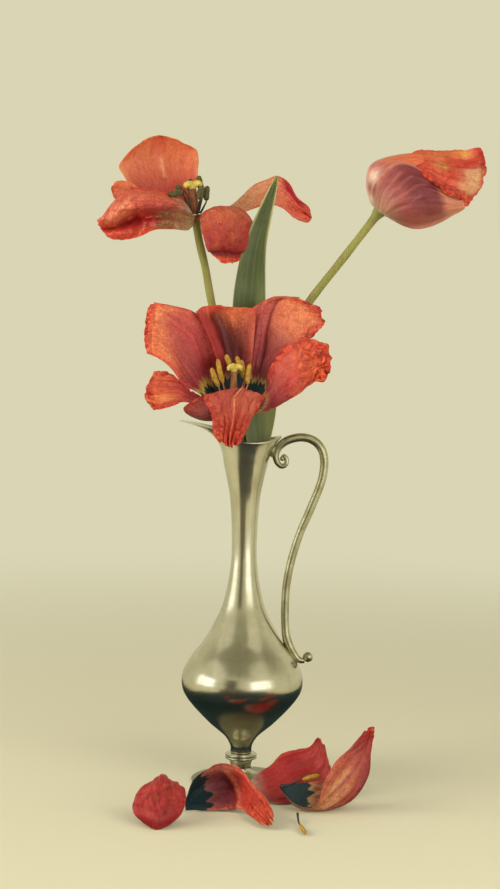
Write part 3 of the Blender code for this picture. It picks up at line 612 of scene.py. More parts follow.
# Solder that ties the scroll to the neck, and the bar to the shoulder
HANDLE_LUGS = [
    ([(15.8, 0, 205), (17.2, 0, 208), (19, 0, 211.2)], [1.2, 1.7, 1.5]),
    ([(25.8, 0, 90.6), (27.8, 0, 87), (30, 0, 83.6)], [1.2, 1.8, 1.2]),
]
# The balls in the two curls: x, z and radius
HANDLE_BALLS = [(41.0, 79.2, 3.15), (22.6, 203.9, 1.5)]


def mouth_shape(point):
    """Draws the lip out to -X and lifts the rim a little where the handle joins."""
    x, y, z = point
    lift = (z - SPOUT_START_Z) / (RIM_Z - SPOUT_START_Z)
    if lift <= 0:
        return point
    r = math.hypot(x, y)
    angle = math.atan2(y, x)
    lip = math.exp(-((math.pi - abs(angle)) / SPOUT_HALF_ANGLE) ** 2)
    trough = math.exp(-((math.pi - abs(angle)) / TROUGH_HALF_ANGLE) ** 2)
    grip = math.exp(-(angle / HANDLE_SIDE_HALF_ANGLE) ** 2)
    early = 1 - max(1 - lift, 0.0) ** 1.6
    reach = SPOUT_REACH * lip * lift ** 3 + HANDLE_SIDE_REACH * grip * lift ** 3
    rise = SPOUT_RISE * trough * early + HANDLE_SIDE_RISE * grip * lift ** 2
    return ((r + reach) * math.cos(angle), (r + reach) * math.sin(angle), z + rise)


def make_vase():
    """The thin-walled body with its rolled rim and drawn lip, and the turned foot."""
    outer = curve_at(BODY_PROFILE, np.linspace(0.0, 1.0, 150))
    inner = [(r - WALL, z) for r, z in outer[::-1] if z > HOLLOW_BOTTOM_Z + 1.5]
    roll_middle = RIM_RADIUS - WALL / 2
    roll = [(roll_middle + RIM_ROLL_RADIUS * math.cos(a),
             RIM_Z + 0.1 + RIM_ROLL_RADIUS * math.sin(a))
            for a in np.linspace(-0.3, math.pi + 0.3, 9)]
    floor = [(8.0, HOLLOW_BOTTOM_Z + 0.6), (4.0, HOLLOW_BOTTOM_Z + 0.1), (0.0, HOLLOW_BOTTOM_Z)]
    profile = [(0.0, BODY_BOTTOM_Z), (4.0, BODY_BOTTOM_Z)]
    profile += [tuple(p) for p in outer] + roll + inner + floor
    body = new_turning(profile, 144)
    set_points(body.data, [mouth_shape(tuple(v.co / MM)) for v in body.data.vertices])
    finish_piece(body, "pewter_body", ["vase_body"], PEWTER)

    fine = curve_at(FOOT_PROFILE, np.linspace(0.0, 1.0, 90))
    fine = [(r, min(max(z, 0.0), FOOT_TOP_Z)) for r, z in fine]
    foot = new_turning([(0.0, 0.0)] + fine + [(0.0, FOOT_TOP_Z)], 128)
    finish_piece(foot, "pewter_foot", ["vase_foot"], PEWTER)


def make_handle():
    """The bent bar with its solder lugs, and a ball in each curl."""
    bar = new_tube([(x, 0.0, z) for x, z in HANDLE_PATH], HANDLE_RADII, 260, 28)
    added = [new_tube(path, radii, 30, 20) for path, radii in HANDLE_LUGS]
    for x, z, radius in HANDLE_BALLS:
        deselect()
        bpy.ops.mesh.primitive_uv_sphere_add(segments=32, ring_count=20, radius=radius * MM,
                                             location=(x * MM, 0.0, z * MM))
        bpy.ops.object.transform_apply(location=True)
        added.append(bpy.context.object)
    bar = join_into(bar, added)
    finish_piece(bar, "pewter_handle", ["handle"], CAST_PEWTER)


# ---------------------------------------------------------------- stems and leaf

# Each stem, from the bottom of the vase to the top of its receptacle
STEM_PATHS = {
    "stem_left": [(0, 12, 38), (0, 6, 95), (0, 4.1, 146), (-0.3, 5, 180),
                  (-2.2, 10, 214), (-7, 15.5, 240), (-14.5, 19.5, 268), (-22.5, 21, 297),
                  (-27.5, 22, 322), (-31.5, 22, 338), (-33.6, 22.2, 350), (-34.2, 22, 354.4)],
    "stem_center": [(-11, 5, 38), (-5.5, 2.2, 95), (-4.1, 1.2, 146), (-5, -1, 180),
                    (-7.4, -6.5, 212), (-8, -9.4, 225), (-8, -10.5, 229), (-8, -12.4, 232.2)],
    "stem_right": [(11, 5, 38), (5.5, 2.2, 95), (4.1, 1.2, 146), (4.4, 3.2, 180),
                   (6, 10.5, 214), (10.5, 17, 238), (18, 18.5, 262), (27.5, 15, 284),
                   (39, 10, 303), (55.5, 6, 325), (69.5, 5, 343.5), (76.5, 5, 353.2),
                   (80, 5, 357.8)],
}
STEM_RADIUS = 2.3
UPPER_STEM_Z = 200
UPPER_STEM_RADIUS = STEM_RADIUS * 1.08
STEM_NECK_RADIUS = STEM_RADIUS * 1.2
RECEPTACLE_RADIUS = 4.3

# Left edge, rib and right edge of the leaf, from its end in the neck to its tip
LEAF_NET = [
    [(2.9, -5.6, 172), (5.4, -4, 172), (6.6, -1.2, 172)],
    [(3.4, -3.8, 190), (7, -0.8, 190), (8.8, -3.6, 190)],
    [(0.5, 2.4, 214), (8.5, 6, 214), (15.2, 0.6, 215)],
    [(-4, 9.5, 238), (6, 13, 238), (18.8, 9, 238)],
    [(-8, 12, 262), (3, 16, 262), (16.5, 12, 262)],
    [(-10, 12, 288), (0.5, 15.5, 288), (11.5, 12, 288)],
    [(-8.8, 10, 310), (1.5, 13, 310), (10.6, 10, 310)],
    [(-4.2, 8.5, 334), (4, 11, 334), (10.6, 8.5, 334)],
    [(3.5, 8, 354), (9, 9.8, 354), (13.8, 8, 354)],
    [(11, 8, 370), (14, 8.8, 370), (16.6, 8, 370)],
    [(15.8, 8, 378.5), (16.5, 8.2, 379), (17.2, 8, 378.5)],
]


def make_stems():
    """Three stalks, slightly uneven, thicker in the open and widest at the receptacle."""
    for name, path in STEM_PATHS.items():
        radii = [STEM_RADIUS if z < UPPER_STEM_Z else UPPER_STEM_RADIUS for _, _, z in path[:-2]]
        stem = new_tube(path, radii + [STEM_NECK_RADIUS, RECEPTACLE_RADIUS], 150, 20)
        points = []
        for vertex in stem.data.vertices:
            p = vertex.co / MM
            swell = wobble(p.x * 0.05, p.y * 0.05, p.z * 0.09)
            points.append(p + vertex.normal * swell * 0.22)
        set_points(stem.data, points)
        finish_piece(stem, name + "_stalk", [name], STEM_SKIN)


# ---------------------------------------------------------------- petals

# Squares along and across a petal's grid
PETAL_CELLS = (64, 48)
FINE_CELLS = (96, 72)


@dataclass
class Look:
    """How one petal looks. A place on it is u, 0 at the base to 1 at the tip, and v, -1 to 1
    across; widths and reaches are in the same units, and amounts run from 0 to 1."""
    slot: str = "petal_red"
    cells: tuple = PETAL_CELLS

    # Broad colour at places along the petal, then bands (u from and to, v from and to,
    # softness, colour, amount), marks (u, v, reach in u and in v, colour, amount), lines
    # (start, end, width, colour, amount) and the rim (colour, amount)
    along: tuple = ((0.0, MAGENTA), (0.35, CRIMSON), (0.62, ORANGE_RED), (0.85, SALMON),
                    (1.0, FLAME))
    bands: tuple = ()
    marks: tuple = ()
    lines: tuple = ()
    rim: tuple = (FLAME, 0.7)

    # Brightness of all that, and how much of each pattern of the finish there is; the glints are
    # painted highlights
    shade: float = 1.0
    mauve: float = 0.42
    pale: float = 0.7
    cool: float = 0.0
    painted_glints: float = 0.45
    blotch: float = 0.0
    halo: float = 0.5
    crisp: float = 0.82

    # Creases (start, end, width, height in mm), dry places (u, v, reach in u and in v,
    # amount), how dry the rim is and where that starts
    creases: tuple = ()
    dry: tuple = ()
    dry_rim: float = 0.5
    rim_start: float = 0.72

    # Waves of the margin (height in mm, count), small wrinkles, crushed facets and their
    # fineness, curl of the rim in mm, ragged edge, notches (v, depth, width), round tip
    ruffle: tuple = (0.8, 7.0)
    wrinkle: float = 0.3
    crumple: float = 1.0
    crumple_scale: float = 0.16
    curl: float = 0.0
    fray: float = 0.02
    notches: tuple = ()
    roundness: float = 0.6


# Numbers of a look that the finish reads from the petal's vertices
FINISH_NUMBERS = ("blotch", "cool", "painted_glints", "halo", "mauve", "pale", "crisp")


def new_sheet(net, length_cells, width_cells, roundness, shape=None):
    """A grid primitive laid on the smooth surface through a net.

    Returns the piece and, for each vertex, u (base to tip), v (-1 to 1 across), its point
    in millimetres and its normal. The far corners are drawn in by the roundness."""
    deselect()
    bpy.ops.mesh.primitive_grid_add(x_subdivisions=width_cells, y_subdivisions=length_cells,
                                    size=2.0)
    piece = bpy.context.object
    flat = np.array([v.co[:2] for v in piece.data.vertices])
    t, s = flat[:, 0], (flat[:, 1] + 1) / 2
    tip_start = 0.55
    a = np.clip((s - tip_start) / (1 - tip_start), 0.0, 1.0)
    round_a = a * np.sqrt(1 - t ** 2 / 2)
    round_t = t * np.sqrt(1 - a ** 2 / 2)
    v = t + (round_t - t) * roundness
    a = a + (round_a - a) * roundness
    u = np.where(s > tip_start, tip_start + a * (1 - tip_start), s)
    if shape is not None:
        u, v = shape(u, v)
    w = (v + 1) / 2
    step = 0.004
    along = surface_at(net, u + step, w) - surface_at(net, u - step, w)
    across = surface_at(net, u, w + step) - surface_at(net, u, w - step)
    normal = np.cross(along, across)
    normal /= np.maximum(np.linalg.norm(normal, axis=1, keepdims=True), 1e-9)
    return piece, u, v, surface_at(net, u, w), normal


def crumpled(p, scale):
    """Height, about -1 to 1, of paper crushed into small facets with sharp creases."""
    spot = Vector(p) * scale
    slow = spot * 0.9
    bent = spot + 0.6 * Vector((noise.noise(slow), noise.noise(slow + Vector((9.3, -1.5, -7.9))),
                                noise.noise(slow + Vector((-4.6, 6.1, 2.8)))))
    distances = noise.voronoi(bent)[0]
    facets = min(distances[1] - distances[0], 0.5) / 0.5
    ridges = noise.ridged_multi_fractal(bent * 1.7, 0.9, 2.1, 3, 0.9, 2.0) - 1.0
    return 0.7 * facets - 0.35 + 0.75 * ridges


def line_distance(u, v, start, end):
    """Distance across a petal from the line between two places on it."""
    du, dv = end[0] - start[0], end[1] - start[1]
    f = np.clip(((u - start[0]) * du + (v - start[1]) * dv) / (du * du + dv * dv), 0.0, 1.0)
    return np.hypot(u - (start[0] + du * f), (v - (start[1] + dv * f)) * 0.5)


def between(value, low, high, soft):
    """1 between two limits and 0 outside them, with soft ends."""
    return (smooth_step(low - soft, low + soft, value)
            * (1 - smooth_step(high - soft, high + soft, value)))


def near_mark(u, v, mark):
    """1 at the middle of a mark, fading to 0 beyond its reach."""
    middle_u, middle_v, reach_u, reach_v = mark[:4]
    return np.exp(-((u - middle_u) / reach_u) ** 2 - ((v - middle_v) / reach_v) ** 2)


def rim_nearness(u, v, tip_start):
    """0 in the middle of a petal to 1 on its margin, which the tip belongs to."""
    return np.maximum(np.abs(v), smooth_step(tip_start, 1.0, u) * 0.98)


def petal_relief(u, v, point, number, look):
    """Folds, wrinkles and curled margin of a petal over its smooth surface.

    Returns the height in millimetres towards the outer side, how dry each place is, and
    the crumpled height from 0 to 1."""
    rim = rim_nearness(u, v, 0.55)
    free = smooth_step(0.10, 0.34, u)
    height = np.zeros(len(u))
    for start, end, width, depth in look.creases:
        height += depth * np.exp(-(line_distance(u, v, start, end) / width) ** 1.4)
    dry = look.dry_rim * smooth_step(look.rim_start, 1.0, rim)
    for mark in look.dry:
        dry = np.maximum(dry, mark[4] * near_mark(u, v, mark))
    dry = np.clip(dry * free, 0.0, 1.0)
    wave_height, wave_count = look.ruffle
    waves_from = 0.45
    offset = number * 13.7
    fold = np.zeros(len(u))
    for k in range(len(u)):
        ray = wobble(v[k] * 6.0, u[k] * 2.6, offset)
        fine_ray = wobble(v[k] * 17.0, u[k] * 5.0, offset + 5.0)
        height[k] += free[k] * look.wrinkle * (ray * 1.6 + fine_ray * 0.5)
        if rim[k] > waves_from:
            edge = ((rim[k] - waves_from) / (1 - waves_from)) ** 2.2
            turn = math.atan2(v[k], u[k] - 0.35) * wave_count
            wave = math.sin(turn + 2.4 * wobble(turn * 0.35, offset, 1.0))
            height[k] += free[k] * edge * wave_height * wave
        x, y, z = point[k]
        rough = crumpled((x + offset, y - offset, z), look.crumple_scale)
        fold[k] = min(max(0.5 + 0.5 * rough, 0.0), 1.0)
        height[k] -= look.crumple * (dry[k] + 0.10 * free[k]) * rough
    height += look.curl * smooth_step(0.82, 1.0, rim) ** 1.5 * free
    return height, dry, fold


def tint_of(u, v, number, look):
    """Broad colours of a petal: along it, towards its margin, and marks at given places."""
    places = [place for place, _ in look.along]
    shades = np.array([screen(*shade)[:3] for _, shade in look.along])
    color = np.stack([np.interp(u, places, shades[:, c]) for c in range(3)], axis=1)

    def lay(shade, amount):
        nonlocal color
        color = color + (np.array(screen(*shade)[:3]) - color) * amount[:, None]

    for u_low, u_high, v_low, v_high, soft, shade, amount in look.bands:
        wander = 0.06 * np.array([wobble(a * 7, b * 5, number) for a, b in zip(u, v)])
        lay(shade, amount * between(u + wander, u_low, u_high, soft)
            * between(v + wander * 2, v_low, v_high, soft * 2))
    for mark in look.marks:
        shade, amount = mark[4:]
        lay(shade, near_mark(u, v, mark) * amount)
    for start, end, width, shade, amount in look.lines:
        lay(shade, amount * np.exp(-(line_distance(u, v, start, end) / width) ** 2))
    shade, amount = look.rim
    edge = smooth_step(0.80, 0.98, rim_nearness(u, v, 0.6))
    lay(shade, edge * amount * smooth_step(0.15, 0.4, u))
    return np.column_stack((color * look.shade, np.ones(len(u))))


def paint(mesh, name, values):
    """Stores a colour for every vertex."""
    attribute = mesh.attributes.new(name, "FLOAT_COLOR", "POINT")
    attribute.data.foreach_set("color", np.asarray(values, dtype=float).ravel())


def number_vertices(mesh, name, value):
    """Stores a number for every vertex, the same one or one for each."""
    attribute = mesh.attributes.new(name, "FLOAT", "POINT")
    values = np.broadcast_to(np.asarray(value, dtype=float), (len(mesh.vertices),))
    attribute.data.foreach_set("value", values.copy())


def mark_growth(mesh, u, v):
    """A UV map that holds the place across and along the petal."""
    layer = mesh.uv_layers.new(name="growth")
    corner = np.zeros(len(mesh.loops), dtype=int)
    mesh.loops.foreach_get("vertex_index", corner)
    layer.data.foreach_set("uv", np.column_stack((v[corner], u[corner])).ravel())
    for other in [other for other in mesh.uv_layers if other.name != "growth"]:
        mesh.uv_layers.remove(other)


def make_petal(name, net, number, look, settle=False):
    """A petal on a net of points; a settled one lies on the table with its lowest point."""

    def ragged(u, v):
        """Ragged outline: the margin is drawn in by a little that varies along it."""
        side = np.array([wobble(a * 13.0, number * 3.1, 1.0 + (b > 0)) for a, b in zip(u, v)])
        tip = np.array([wobble(b * 6.0, number * 3.1, 7.0) for b in v])
        v = v * (1 - look.fray * (0.5 + side) * smooth_step(0.15, 0.4, u) * np.abs(v) ** 3)
        cut = np.zeros(len(u))
        for place, depth, width in look.notches:
            cut += depth * np.exp(-((v - place) / width) ** 2)
        return u * (1 - (look.fray * (0.5 + tip) + cut) * smooth_step(0.6, 1.0, u)), v

    piece, u, v, point, normal = new_sheet(net, *look.cells, look.roundness, ragged)
    height, dry, fold = petal_relief(u, v, point, number, look)
    shaped = point + normal * height[:, None]
    if settle:
        shaped[:, 2] += PETAL_THICKNESS / 2 + TABLE_GAP - shaped[:, 2].min()
    mesh = piece.data
    set_points(mesh, shaped)
    mark_growth(mesh, u, v)
    paint(mesh, "tint", tint_of(u, v, number, look))
    number_vertices(mesh, "seed", number * 3.3)
    for key in FINISH_NUMBERS:
        number_vertices(mesh, key, getattr(look, key))
    number_vertices(mesh, "dry", dry)
    number_vertices(mesh, "fold", fold)
    agreement = sum(face.normal.dot(Vector(normal[face.vertices[0]])) for face in mesh.polygons)
    if agreement < 0:
        in_edit_mode(bpy.ops.mesh.flip_normals)
    mesh.materials.append(PETAL_OUTER)
    mesh.materials.append(PETAL_INNER)
    thicken(piece, PETAL_THICKNESS, back_material=1)
    finish_piece(piece, name + "_flesh", [name])


def make_leaf():
    """The long channelled leaf, a little wavy along its sides."""
    piece, u, v, point, normal = new_sheet(LEAF_NET, 150, 22, roundness=0.0)
    height = np.zeros(len(u))
    for k, z in enumerate(point[:, 2]):
        height[k] = 0.35 * wobble(v[k] * 5.0, z * 0.02, 3.0)
        height[k] += 0.5 * (abs(v[k]) > 0.6) * wobble(v[k], z * 0.05, 9.0)
    height -= 0.55 * np.exp(-(v / 0.10) ** 2) * smooth_step(0.1, 0.3, u)
    mesh = piece.data
    set_points(mesh, point + normal * height[:, None])
    mark_growth(mesh, u, v)
    thicken(piece, LEAF_THICKNESS)
    finish_piece(piece, "leaf_blade", ["leaf"], LEAF_SKIN)


# ---------------------------------------------------------------- open flowers

# Where a flower sits: the top of its receptacle and the way it points
CENTER_SEAT = ((-8.0, -12.4, 232.2), (0.0, -0.5, 0.87))
LEFT_SEAT = ((-34.2, 22.0, 354.4), (-0.12, -0.1, 0.98))
# How far below the receptacle's top the petals of each whorl start
INNER, OUTER = 0.0, 1.5
GAP = 0.3
PETAL_BASE_HALF_THICKNESS = 0.35
PETAL_BASE_HALF_WIDTH = 2.4
RECEPTACLE_TAPER = 0.3


def around(seat, degrees, radius, lift):
    """Point beside a receptacle, at an angle round its axis."""
    top, axis = (np.array(part, dtype=float) for part in seat)
    axis /= np.linalg.norm(axis)
    back = np.cross(axis, (1.0, 0.0, 0.0))
    back /= np.linalg.norm(back)
    right = np.cross(back, axis)
    angle = math.radians(degrees)
    return top + radius * (math.cos(angle) * right + math.sin(angle) * back) + lift * axis


def base_row(seat, degrees, drop, columns):
    """First row of a petal, one gap off the side of the receptacle."""
    radius = RECEPTACLE_RADIUS + PETAL_BASE_HALF_THICKNESS + GAP - RECEPTACLE_TAPER * drop
    half_turn = math.degrees(PETAL_BASE_HALF_WIDTH / radius)
    return [around(seat, degrees + half_turn * k, radius, -drop)
            for k in np.linspace(1, -1, columns)]


# Each open petal: degrees round its receptacle, whorl, rows of points from near the base to
# the tip, and its look. A row starts at the edge on the anticlockwise side.
# In the centre flower the deep magenta and maroon towards the bases, inside the cup, are partly
# the petals' own colour and partly painted shade.
CENTER_PETALS = {
    "center_petal_1": (150, OUTER, [
        [(-31.5, -13, 246), (-30, -8, 249), (-27, -3, 252.5), (-24, 1, 254.5), (-16.5, 4, 256.5)],
        [(-39, -13.5, 250), (-37, -8, 256.5), (-33, -4, 263), (-28, -1.5, 267.5),
         (-17.5, 1, 270.5)],
        [(-44.5, -14, 257.5), (-43.5, -10, 265.5), (-40.5, -6.5, 273.5), (-32.5, -3.5, 281),
         (-21, -1, 284)],
        [(-50.5, -14, 263), (-51, -11, 272), (-49, -8, 281), (-41.5, -5, 289.5), (-28.5, -2, 292)],
        [(-56.5, -13.5, 266.5), (-57, -11.5, 275), (-55.5, -9.5, 285), (-51, -7, 295),
         (-40, -4, 297)],
        [(-63, -12, 268.5), (-64, -11.5, 277.5), (-63.5, -10, 287), (-62.5, -8, 295.5),
         (-60, -7, 300.5)],
    ], Look(
        cells=FINE_CELLS,
        along=[(0, MAGENTA), (0.3, (156, 48, 54)), (0.48, (180, 68, 62)), (0.62, (212, 102, 68)),
               (0.85, (226, 116, 74)), (1, (218, 92, 56))],
        bands=[(0.35, 0.8, 0.05, 1.1, 0.12, (184, 58, 60), 0.8),
               (0.25, 0.62, -0.5, 0.2, 0.12, (172, 58, 58), 0.6)],
        # painted light: the first mark brightens the right side of the petal, where petal 2's flap
        # shades it
        marks=[(0.6, 0.95, 0.4, 0.28, (222, 92, 84), 0.85),
               (0.66, -0.8, 0.2, 0.4, (226, 118, 72), 0.8),
               (0.9, 0.5, 0.12, 0.5, (222, 128, 84), 0.8),
               (0.5, 0.95, 0.3, 0.16, (190, 60, 62), 0.7)],
        lines=[((0.86, -0.9), (0.9, 0.7), 0.012, (240, 160, 100), 0.6)],
        rim=(FLAME, 0.5), shade=0.9, painted_glints=0.7, blotch=0.13, halo=0.8,
        creases=[((0.3, 0.4), (0.9, 0.25), 0.07, -1.2), ((0.5, -0.3), (0.95, -0.2), 0.05, 0.8),
                 ((0.86, -0.9), (0.9, 0.7), 0.03, 0.9)],
        dry=[(1, -0.2, 0.09, 1.2, 1)], dry_rim=0.4, ruffle=(0.9, 6.0), crumple=1.6, curl=1.2,
        roundness=0.03)),
    "center_petal_2": (90, INNER, [
        [(-21, -9, 249.5), (-18, -6, 251), (-13, -3, 251.5), (-6.5, -3, 252), (-0.5, -7, 250.5)],
        [(-19, -9, 261), (-15.5, -3, 262.5), (-11, 3, 264), (-4, 2, 264), (2.5, -4, 261)],
        [(-21.5, -9.5, 272.5), (-18.5, -3, 274), (-13.5, 5, 274.5), (-5, 4, 275.5), (4, -2, 274)],
        [(-25.5, -9.5, 283), (-22, -3, 283.5), (-17, 5.5, 284.5), (-7, 5, 285.5), (4.5, -1, 285)],
        [(-30, -8.5, 291), (-26, -3, 291.5), (-20, 4.5, 292), (-9, 4.5, 293), (5, 0, 292.5)],
        [(-33, -7, 294.5), (-27.5, -4, 298.5), (-19.5, 1.5, 299), (-9, 3, 298), (5, 0, 298)],
    ], Look(
        along=[(0, MAGENTA), (0.3, (120, 32, 36)), (0.6, (122, 34, 36)), (0.8, (160, 56, 46)),
               (1, (204, 88, 56))],
        # painted light and shade of the fold: the first band is the lit side, and the two dark
        # maroon bands are the shade in the deep crease beside it
        bands=[(0.3, 0.97, -1.2, -0.42, 0.07, (160, 50, 50), 0.95),
               (0.3, 0.68, -0.25, 0.8, 0.07, (96, 26, 28), 0.9),
               (0.35, 0.88, -0.30, 0.28, 0.07, (88, 22, 26), 0.95)],
        marks=[(0.86, 0.5, 0.2, 0.35, (216, 112, 68), 0.95),
               (0.6, 0.85, 0.25, 0.25, (170, 72, 58), 0.8),
               (0.97, -0.3, 0.06, 0.5, (206, 84, 54), 0.8)],
        lines=[((0.35, 0.97), (0.8, 0.94), 0.03, (206, 112, 74), 0.4)],
        rim=(CRIMSON, 0.15), painted_glints=0.8, blotch=0.21, halo=0.3,
        creases=[((0.3, -0.34), (1, -0.36), 0.07, -0.7), ((0.3, 0), (0.9, 0.05), 0.10, 0.4),
                 ((0.5, 0.4), (1, 0.35), 0.05, -0.5)],
        dry_rim=0.15, ruffle=(0.5, 6.0), wrinkle=0.35, roundness=0.1)),
    "center_petal_3": (30, OUTER, [
        [(-1.5, -1, 250), (2, -2, 249.5), (5, -3.5, 248.5), (8.5, -7, 247.5), (11.5, -12, 246.5)],
        [(-1, 4, 260.5), (3.5, 3, 260.5), (7.5, 1, 260), (11.5, -5, 258), (15, -12, 255)],
        [(0, 6, 272), (5, 4.5, 272.5), (10.5, 3.5, 271.5), (15.5, -3, 268.5), (19.5, -12, 265)],
        [(0.5, 7, 284), (6.5, 5, 284), (12.5, 4, 283), (20.5, -3, 278.5), (27, -12, 272.5)],
        [(1, 7, 293), (8.5, 5.5, 294.5), (17, 3, 295), (27, -3, 288.5), (35, -12.5, 277.5)],
        [(4.5, 6, 298.5), (14, 4, 303.5), (24, 1, 302.5), (35.5, -4.5, 295.5), (43, -11, 282.5)],
        [(21.5, 3, 304.5), (30.5, 0, 305), (39.5, -3, 302), (47, -7, 296), (49, -10, 288.5)],
    ], Look(
        cells=FINE_CELLS,
        along=[(0, MAGENTA), (0.3, (128, 44, 50)), (0.5, (158, 56, 58)), (0.65, (206, 96, 70)),
               (0.9, (218, 116, 78)), (1, (208, 86, 52))],
        bands=[(0.3, 0.86, -1.2, -0.08, 0.05, (186, 70, 72), 0.85),
               (0.3, 0.62, 0, 1.2, 0.1, (150, 54, 58), 0.8)],
        marks=[(0.8, 0.5, 0.22, 0.5, (220, 124, 82), 0.8),
               (0.92, -0.6, 0.12, 0.3, (206, 88, 66), 0.8),
               (0.95, -0.2, 0.1, 0.3, (216, 106, 72), 0.7)],
        lines=[((0.35, -0.06), (0.84, -0.16), 0.035, (132, 44, 46), 0.5),
               ((0.35, -0.97), (0.9, -0.95), 0.02, (214, 110, 86), 0.5)],
        rim=((206, 70, 46), 0.7), shade=0.86, painted_glints=0.7, blotch=0.18,
        creases=[((0.3, 0), (0.82, -0.15), 0.035, 1.6), ((0.3, -0.55), (0.9, -0.5), 0.06, -1),
                 ((0.6, 0.5), (0.95, 0.45), 0.06, -0.6), ((0.8, 0.35), (0.98, 0.75), 0.03, 1.4)],
        dry=[(1, 0.2, 0.10, 1, 0.8), (0.82, 0.95, 0.16, 0.14, 0.8)],
        dry_rim=0.25, ruffle=(1.3, 7.0), crumple=2.0, curl=0.8,
        notches=[(-0.1, 0.05, 0.12), (0.62, 0.02, 0.12)],
        roundness=0.2)),
    "center_petal_4": (-30, INNER, [
        [(10, -12, 245), (12, -17, 242), (12, -20, 239), (10.5, -21, 236.5), (8.5, -20.5, 234)],
        [(13, -12, 256.5), (17.5, -19, 250), (17.5, -22.5, 244.5), (16, -23, 239.5),
         (14.5, -22, 235.5)],
        [(17.5, -14, 267), (23.5, -22, 258), (24.5, -25, 251), (24, -25, 244), (23, -24, 240)],
        [(23, -17, 274.5), (31, -26, 265), (32.5, -28, 257), (32.5, -27, 251.5), (32, -26, 246)],
        [(30.5, -20, 278), (38, -29, 270), (40.5, -30, 262), (40.5, -28.5, 256.5), (40, -27, 253)],
        [(38, -23, 280), (46, -29, 274.5), (47, -30, 266.5), (47, -29, 259), (45, -28, 253)],
        [(43.5, -25, 278), (50, -28, 273), (52, -28.5, 265.5), (51, -28, 258.5), (47, -27, 252.5)],
    ], Look(
        slot="petal_dry", cells=FINE_CELLS,
        along=[(0, MAGENTA), (0.25, (146, 44, 52)), (0.45, (190, 60, 60)), (0.7, (222, 108, 62)),
               (1, FLAME)],
        # painted highlight: the first mark is orange-yellow light among the dry folds
        marks=[(0.8, 0.15, 0.10, 0.30, (238, 136, 70), 0.6),
               (0.92, -0.2, 0.06, 0.4, (240, 120, 62), 0.6),
               (0.3, 0.7, 0.25, 0.5, (128, 40, 44), 0.9),
               (0.45, -0.7, 0.25, 0.4, (206, 92, 66), 0.6)],
        lines=[((0.55, -0.5), (0.8, -0.7), 0.012, (160, 24, 30), 0.8),
               ((0.7, -0.75), (0.84, -0.3), 0.010, (150, 20, 28), 0.8),
               ((0.84, -0.3), (0.8, 0.35), 0.010, (150, 20, 28), 0.8),
               ((0.62, 0.75), (0.95, 0.6), 0.010, (156, 22, 28), 0.7),
               ((0.6, 0.2), (0.9, 0.5), 0.012, (166, 28, 30), 0.7)],
        rim=((212, 50, 40), 0.6), shade=0.86, blotch=0.13, halo=0.25,
        creases=[((0.3, -0.2), (0.7, -0.1), 0.06, 0.9), ((0.7, -0.6), (0.85, 0.5), 0.02, 1.2)],
        dry=[(0.86, 0.1, 0.28, 1.3, 0.9)], dry_rim=0.6, rim_start=0.7, ruffle=(1.2, 9.0),
        crumple=2.3, crumple_scale=0.15, curl=-0.6, fray=0.04, roundness=0.15)),
    "center_petal_5": (-90, OUTER, [
        [(3, -21, 234), (-2, -23, 232), (-7.5, -24.5, 230.5), (-17.5, -23.5, 229),
         (-27, -20.5, 228.5)],
        [(9.5, -27, 239), (1.5, -31, 236.5), (-9, -33, 235.5), (-25.5, -31, 232),
         (-38.5, -26, 236)],
        [(11.5, -33, 243.5), (5.5, -36, 247), (-2, -38, 249), (-9.5, -38.5, 249),
         (-28, -33, 243.5)],
        [(10, -36, 243), (3.5, -40, 244.5), (-6, -42, 244.5), (-15.5, -41.5, 243.5),
         (-26, -37, 241.5)],
        [(7.5, -38.5, 236), (1.5, -42.5, 236.5), (-6.5, -44, 236.5), (-14.5, -43.5, 236.5),
         (-22, -40.5, 236)],
        [(4, -39.5, 230.5), (-1, -43, 230), (-7.5, -44, 229), (-13.5, -43, 229),
         (-21, -41, 229.5)],
        [(-0.5, -39.5, 222.5), (-4, -41.5, 221), (-9, -42.5, 220), (-14.5, -42, 220.5),
         (-20.5, -40, 222.5)],
        [(-4, -39, 216.5), (-6.5, -40, 214.5), (-9.5, -40.5, 213), (-12.5, -40.5, 214),
         (-17, -39.5, 216.5)],
    ], Look(
        cells=FINE_CELLS,
        along=[(0, (92, 38, 38)), (0.2, (112, 42, 42)), (0.33, (158, 56, 52)),
               (0.45, (176, 72, 56)), (0.65, (196, 80, 58)), (0.85, (204, 66, 48)), (1, FLAME)],
        bands=[(0.40, 0.66, -0.9, -0.05, 0.05, (198, 92, 66), 0.7),
               (0.40, 0.66, 0.1, 0.9, 0.05, (182, 72, 56), 0.8)],
        lines=[((0.40, 0.9), (0.52, 0.45), 0.012, (138, 24, 30), 0.7),
               ((0.42, -0.85), (0.56, -0.5), 0.012, (138, 24, 30), 0.7),
               # painted highlight: this pale line runs along the crest of the middle fold
               ((0.36, 0.05), (0.97, 0.05), 0.010, (236, 150, 100), 0.8),
               ((0.5, -0.3), (0.75, -0.75), 0.010, (150, 26, 32), 0.7),
               ((0.5, 0.35), (0.75, 0.75), 0.010, (150, 26, 32), 0.7),
               ((0.6, -0.2), (0.98, -0.15), 0.012, (164, 26, 32), 0.8),
               ((0.62, 0.3), (0.98, 0.2), 0.012, (164, 26, 32), 0.8),
               ((0.8, -0.5), (0.98, -0.4), 0.010, (160, 26, 32), 0.7),
               ((0.8, 0.5), (0.98, 0.4), 0.010, (160, 26, 32), 0.7)],
        rim=((206, 42, 38), 0.75), shade=0.8, mauve=0.15, pale=0.0, blotch=0.10, crisp=0.6,
        creases=[((0.38, 0.05), (0.97, 0.05), 0.022, -1.6), ((0.42, 0.2), (0.97, 0.15), 0.03, 1),
                 ((0.42, -0.1), (0.97, -0.05), 0.03, 1), ((0.5, -0.5), (0.95, -0.35), 0.03, 1),
